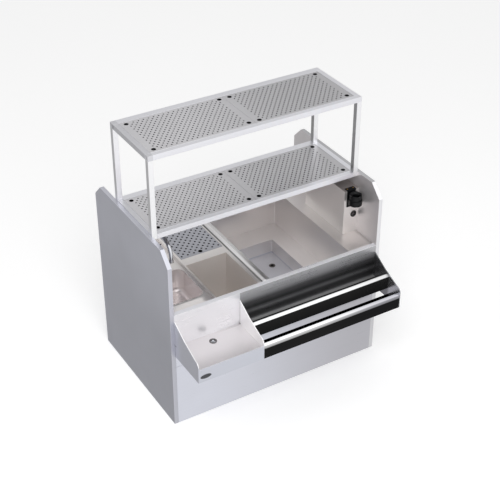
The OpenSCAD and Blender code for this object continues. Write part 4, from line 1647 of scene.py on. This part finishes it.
@dataclass
class Fittings:
    """Faucet, drains, holster and small metal pieces.

    A screw or bolt is its (radius, height of head), and its shank goes in by sunk.
    """

    metal_round: float = 0.0004
    plastic_round: float = 0.0006
    plate_round: float = 0.0003
    sunk: float = 0.003
    screw: Point2 = (0.0025, 0.0022)
    screw_edge: float = 0.0003
    bolt: Point2 = (0.004, 0.005)
    bolt_edge: float = 0.0004
    chrome: Polished = Polished("chrome", "#D0D2D6", 0.12)
    brass: Polished = Polished("brass", "#B8945A", 0.3)
    plastic: Moulded = Moulded("black_plastic", "#0C0D0F", 0.38, specular=0.22)
    rubber: Moulded = Moulded("black_rubber", "#1C1C1C", 0.7)
    plate: Moulded = Moulded("dark_plate", "#3A3B40", 0.3)
    bolt_metal: Polished = Polished("bolt_steel", "#A8A8AC", 0.28)

    def pan_screw(self) -> bpy.types.Object:
        """A pan-head screw with a driver recess, its seat at height 0.

        Returns:
            The screw.
        """
        radius, head = self.screw
        wide, dome, edge = 2 * radius, head * 0.5, self.screw_edge
        profile = [
            (HUB, -self.sunk), (radius - edge, -self.sunk), (radius, edge - self.sunk),
            (radius, 0.0), (wide - 0.0002, 0.0), (wide, edge), (wide, dome),
            *arc((wide - dome, dome), dome, 15, 90, 5),
            (radius * 0.62, head), (radius * 0.5, head * 0.45), (HUB, head * 0.4),
        ]
        return to_object("pan_screw", lathe(profile, steps=32))

    def hex_bolt(self) -> bpy.types.Object:
        """A hex bolt with a chamfered head, its seat at height 0.

        Returns:
            The bolt.
        """
        radius, head = self.bolt
        wide, edge = 1.8 * radius, self.bolt_edge
        shank = [
            (HUB, -self.sunk), (radius - edge, -self.sunk), (radius, edge - self.sunk),
            (radius, 0.0), (HUB, 0.0),
        ]
        crown = [
            (HUB, 0.0), (wide * 0.98, 0.0), (wide, edge), (wide, head - 3 * edge),
            (wide * 0.86, head), (HUB, head),
        ]
        return merged("hex_bolt", (lathe(shank, steps=28), lathe(crown, steps=6)))

    def fasten(self, station: Station, brass: bpy.types.Material) -> None:
        """Puts the holster's screws and the brackets' bolts in.

        Args:
            station: Takes the finished pieces.
            brass: The screws' metal.
        """
        fasteners = Fasteners()
        spots = [
            Vector(((a.x + b.x) / 2, (a.y + b.y) / 2, a.z + self.sunk))
            for a, b in islands("holster_screws")
        ]
        ways = [Vector((0, 0, 1))] * len(spots)
        screws = fasteners.place("holster_screws", self.pan_screw(), spots, ways)
        station.hand_in(screws, brass, "holster_screws")
        spots, ways = [], []
        for a, b in islands("bracket_bolts"):
            side = math.copysign(1.0, a.x + b.x)
            seat = b.x - self.sunk if side > 0 else a.x + self.sunk
            spots.append(Vector((seat, (a.y + b.y) / 2, (a.z + b.z) / 2)))
            ways.append(Vector((-side, 0, 0)))
        bolts = fasteners.place("bracket_bolts", self.hex_bolt(), spots, ways)
        station.hand_in(bolts, self.bolt_metal.make(), "bracket_bolts")

    def build(self, station: Station) -> None:
        """Builds and hands in the fittings.

        Args:
            station: Takes the finished pieces.
        """
        chrome, brass, plastic = self.chrome.make(), self.brass.make(), self.plastic.make()
        station.copies(
            chrome, self.metal_round, "faucet_base", "faucet_aerator", "hot_lever", "cold_lever",
            "sink_drain", "sink_strainer", "basin_strainer",
        )
        spout = Spout()
        low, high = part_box("faucet_spout")
        foot = (
            (low[0] + high[0]) / 2,
            high[1] - spout.tube - spout.collar[0],
            high[2] - spout.tube - spout.rise,
        )
        station.hand_in(spout.make(foot, chrome), None, "faucet_spout")
        nuts = ("sink_drain_nut", "basin_drain_nut", "faucet_nuts")
        station.copies(brass, self.metal_round, *nuts)
        holster = ("holster_bracket", "holster_cup", "drip_cup")
        station.copies(plastic, self.plastic_round, *holster)
        station.copies(self.rubber.make(), self.metal_round, "hose_grommet")
        station.copies(self.plate.make(), self.plate_round, "oval_plate")
        self.fasten(station, brass)


@dataclass
class Overshelf:
    """Posts, tier rails and the perforated inserts, and the deck's drain insert.

    An open rail tube is bar deep and tier high, with this wall.
    """

    rail_round: float = 0.0008
    bar: float = 0.03
    tier: float = 0.03
    wall: float = 0.002
    shelf_holes: Perforation = Perforation(
        hole=0.004, pitch=0.030, row=0.018, margin_x=0.034, margin_y=0.020,
        finger=0.0125, finger_in=(0.032, 0.026), fingers=4, collar=0.006,
    )
    drain_holes: Perforation = Perforation(
        hole=0.0055, pitch=0.040, row=0.020, margin_x=0.014, margin_y=0.018,
        finger=0.0125, finger_in=(0.0, 0.022), fingers=2, collar=0.008,
    )
    frame_steel: BrushedSteel = BrushedSteel(
        "shelf_frame_steel", "#F0F0F5", Grain.ALONG_X, 0.32,
        # Painted shade: darker at the left ends.
        tints=(Tint(X, ((-0.632, 0.84), (-0.628, 1.0))),),
    )
    post_steel: BrushedSteel = BrushedSteel(
        "post_steel", "#FAFAFF", Grain.ALONG_Z, 0.32, metallic=0.9,
        # Painted shade: darker on the left posts' outer faces and on the right posts' left faces.
        tints=(
            Tint(
                X,
                (
                    (-0.6606, 0.74), (-0.6602, 1.0), (0.50, 1.0),
                    (0.55, 0.4), (0.6310, 0.4), (0.6314, 1.0),
                ),
            ),
        ),
    )
    insert_steel: BrushedSteel = BrushedSteel(
        "shelf_insert_steel", "#DEDDE0", Grain.ALONG_X, 0.36,
        # Painted shade: darker towards the right.
        tints=(Tint(X, ((-0.4, 1.0), (0.4, 0.8))),),
    )
    drain_steel: BrushedSteel = BrushedSteel("drain_insert_steel", "#B4B5BC", Grain.ALONG_X, 0.36)
    # Painted shade: near-black on the holes' rims and walls.
    shade: Polished = Polished("punched_wall", "#2A2A2D", 0.5)

    def end_plates(self, node: str, at_back: bool) -> list[Shape]:
        """Plates that close a long rail's open ends, set into its walls.

        Args:
            node: The rail's frame node.
            at_back: Whether the tube is on the rail's far side, behind its ledge.

        Returns:
            The two plates.
        """
        low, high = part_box(node)
        sunk = self.wall / 4
        y = high[1] - self.bar if at_back else low[1]
        bottom = (y + sunk, high[2] - self.tier + sunk)
        outline = rounded_loop(bottom, (y + self.bar - sunk, high[2] - sunk), sunk, 3)
        starts = (low[0] + sunk, high[0] - sunk - self.wall)
        return [extruded(outline, x, x + self.wall) for x in starts]

    def build(self, station: Station) -> None:
        """Builds and hands in the overshelf's pieces and the drain insert.

        Args:
            station: Takes the finished pieces.
        """
        steel = self.frame_steel.make()
        posts = [f"post_{end}_{side}" for end in ("front", "back") for side in ("left", "right")]
        station.copies(self.post_steel.make(), self.rail_round, *posts)
        station.copies(
            steel, self.rail_round, "lower_front_rail", "lower_back_rail", "lower_cross_bars",
            "upper_cross_bars", "shelf_brackets",
        )
        for node, at_back in (("upper_front_rail", False), ("upper_back_rail", True)):
            plates = self.end_plates(node, at_back)
            rail = copy_of(node, f"{node}_sheet", self.rail_round, plates)
            station.hand_in(rail, steel, node)
        shade = self.shade.make()
        maker = TrayMaker(self.insert_steel.make(), shade)
        for node in (
            "lower_left_insert", "lower_right_insert", "upper_left_insert", "upper_right_insert",
        ):
            station.hand_in(maker.make(node, self.shelf_holes), None, node)
        drain = TrayMaker(self.drain_steel.make(), shade).make("drain_insert", self.drain_holes)
        station.hand_in(drain, None, "drain_insert")


# ----------------------------------------------------------------------- studio


@dataclass
class Studio:
    """Camera, pale floor and plain soft light."""

    target: Point3 = (0.0305, 0.0537, 0.7272)
    camera_at: Point3 = (-2.8359, -4.7377, 4.4707)
    lens: float = 83.37
    sight_end: float = 60.0
    floor_half: float = 14.0
    floor_gap: float = 0.0015
    floor_colour: Colour = grey(0.9)
    floor_lift: float = 0.22
    sky_level: float = 0.876
    sky_slope: Point3 = (-0.238, -0.4225, 0.406)
    fill_level: float = 0.72
    lamp_power: float = 120.0
    lamp_size: float = 3.0
    lamp_at: Point3 = (-1.8, -3.2, 4.6)
    lamp_target: Point3 = (0.0, 0.0, 0.6)

    @staticmethod
    def aim(made: bpy.types.Object, at: Point3, target: Point3) -> None:
        """Puts an object at one point and turns it towards another."""
        made.location = at
        made.rotation_euler = (Vector(target) - Vector(at)).to_track_quat("-Z", "Y").to_euler()

    def camera(self) -> None:
        """Makes the camera at the photograph's viewpoint."""
        data = bpy.data.cameras.new("camera")
        data.lens = self.lens
        data.clip_end = self.sight_end
        made = placed("camera", data)
        self.aim(made, self.camera_at, self.target)
        bpy.context.scene.camera = made

    def world(self) -> None:
        """White behind the object, a soft slope of light in its metal."""
        world = bpy.data.worlds.new("studio")
        bpy.context.scene.world = world
        world.use_nodes = True
        bench = Bench(world.node_tree)
        ray = bench.add("ShaderNodeLightPath")
        glossy, camera, clear = (
            Wire(bench, ray.outputs[f"Is {kind} Ray"])
            for kind in ("Glossy", "Camera", "Transmission")
        )
        sky: Term = self.sky_level
        way = bench.add("ShaderNodeTexCoord").outputs["Generated"]
        for axis, slope in zip(bench.axes(way), self.sky_slope):
            sky = axis * slope + sky
        seen = (camera + clear).clipped()
        hidden = (1 - seen) * (glossy * sky + (1 - glossy) * self.fill_level)
        back = bench.result(
            "ShaderNodeBackground", inputs={"Color": WHITE, "Strength": seen + hidden}
        )
        bench.add("ShaderNodeOutputWorld", inputs={"Surface": back})
        world.cycles.sampling_method = "NONE"

    def floor(self) -> None:
        """A pale floor that keeps the object's shadow."""
        shape = bmesh.new()
        half = self.floor_half
        corners = ((-half, -half), (half, -half), (half, half), (-half, half))
        shape.faces.new([shape.verts.new((x, y, -self.floor_gap)) for x, y in corners])
        made = to_object("floor", shape)
        made.visible_glossy = False
        material, bench = new_material("floor_white")
        ray = bench.add("ShaderNodeLightPath")
        lift = Wire(bench, ray.outputs["Is Camera Ray"]) * self.floor_lift
        matt = bench.result("ShaderNodeBsdfDiffuse", inputs={"Color": self.floor_colour})
        glow = bench.result("ShaderNodeEmission", inputs={"Color": WHITE, "Strength": lift})
        both = bench.result("ShaderNodeAddShader", inputs={0: matt, 1: glow})
        bench.add("ShaderNodeOutputMaterial", inputs={"Surface": both})
        made.data.materials.append(material)

    def lamp(self) -> None:
        """One broad soft lamp from the front left above."""
        data = bpy.data.lights.new("soft_lamp", "AREA")
        data.shape = "DISK"
        data.size = self.lamp_size
        data.energy = self.lamp_power
        made = placed("soft_lamp", data)
        self.aim(made, self.lamp_at, self.lamp_target)
        made.visible_glossy = False

    def build(self) -> None:
        """Sets the whole studio up."""
        self.camera()
        self.world()
        self.floor()
        self.lamp()
        bpy.context.scene.view_settings.view_transform = "Standard"


def main() -> None:
    """Builds the station's looks and reports each piece."""
    logging.basicConfig(level=logging.INFO, format="%(name)s: %(message)s")
    Studio().build()
    station = Station()
    for part in (Cabinet(), Deck(), Front(), Fittings(), Overshelf()):
        part.build(station)
    station.report_left()
    Helpers.clear()


if __name__ == "__main__":
    main()
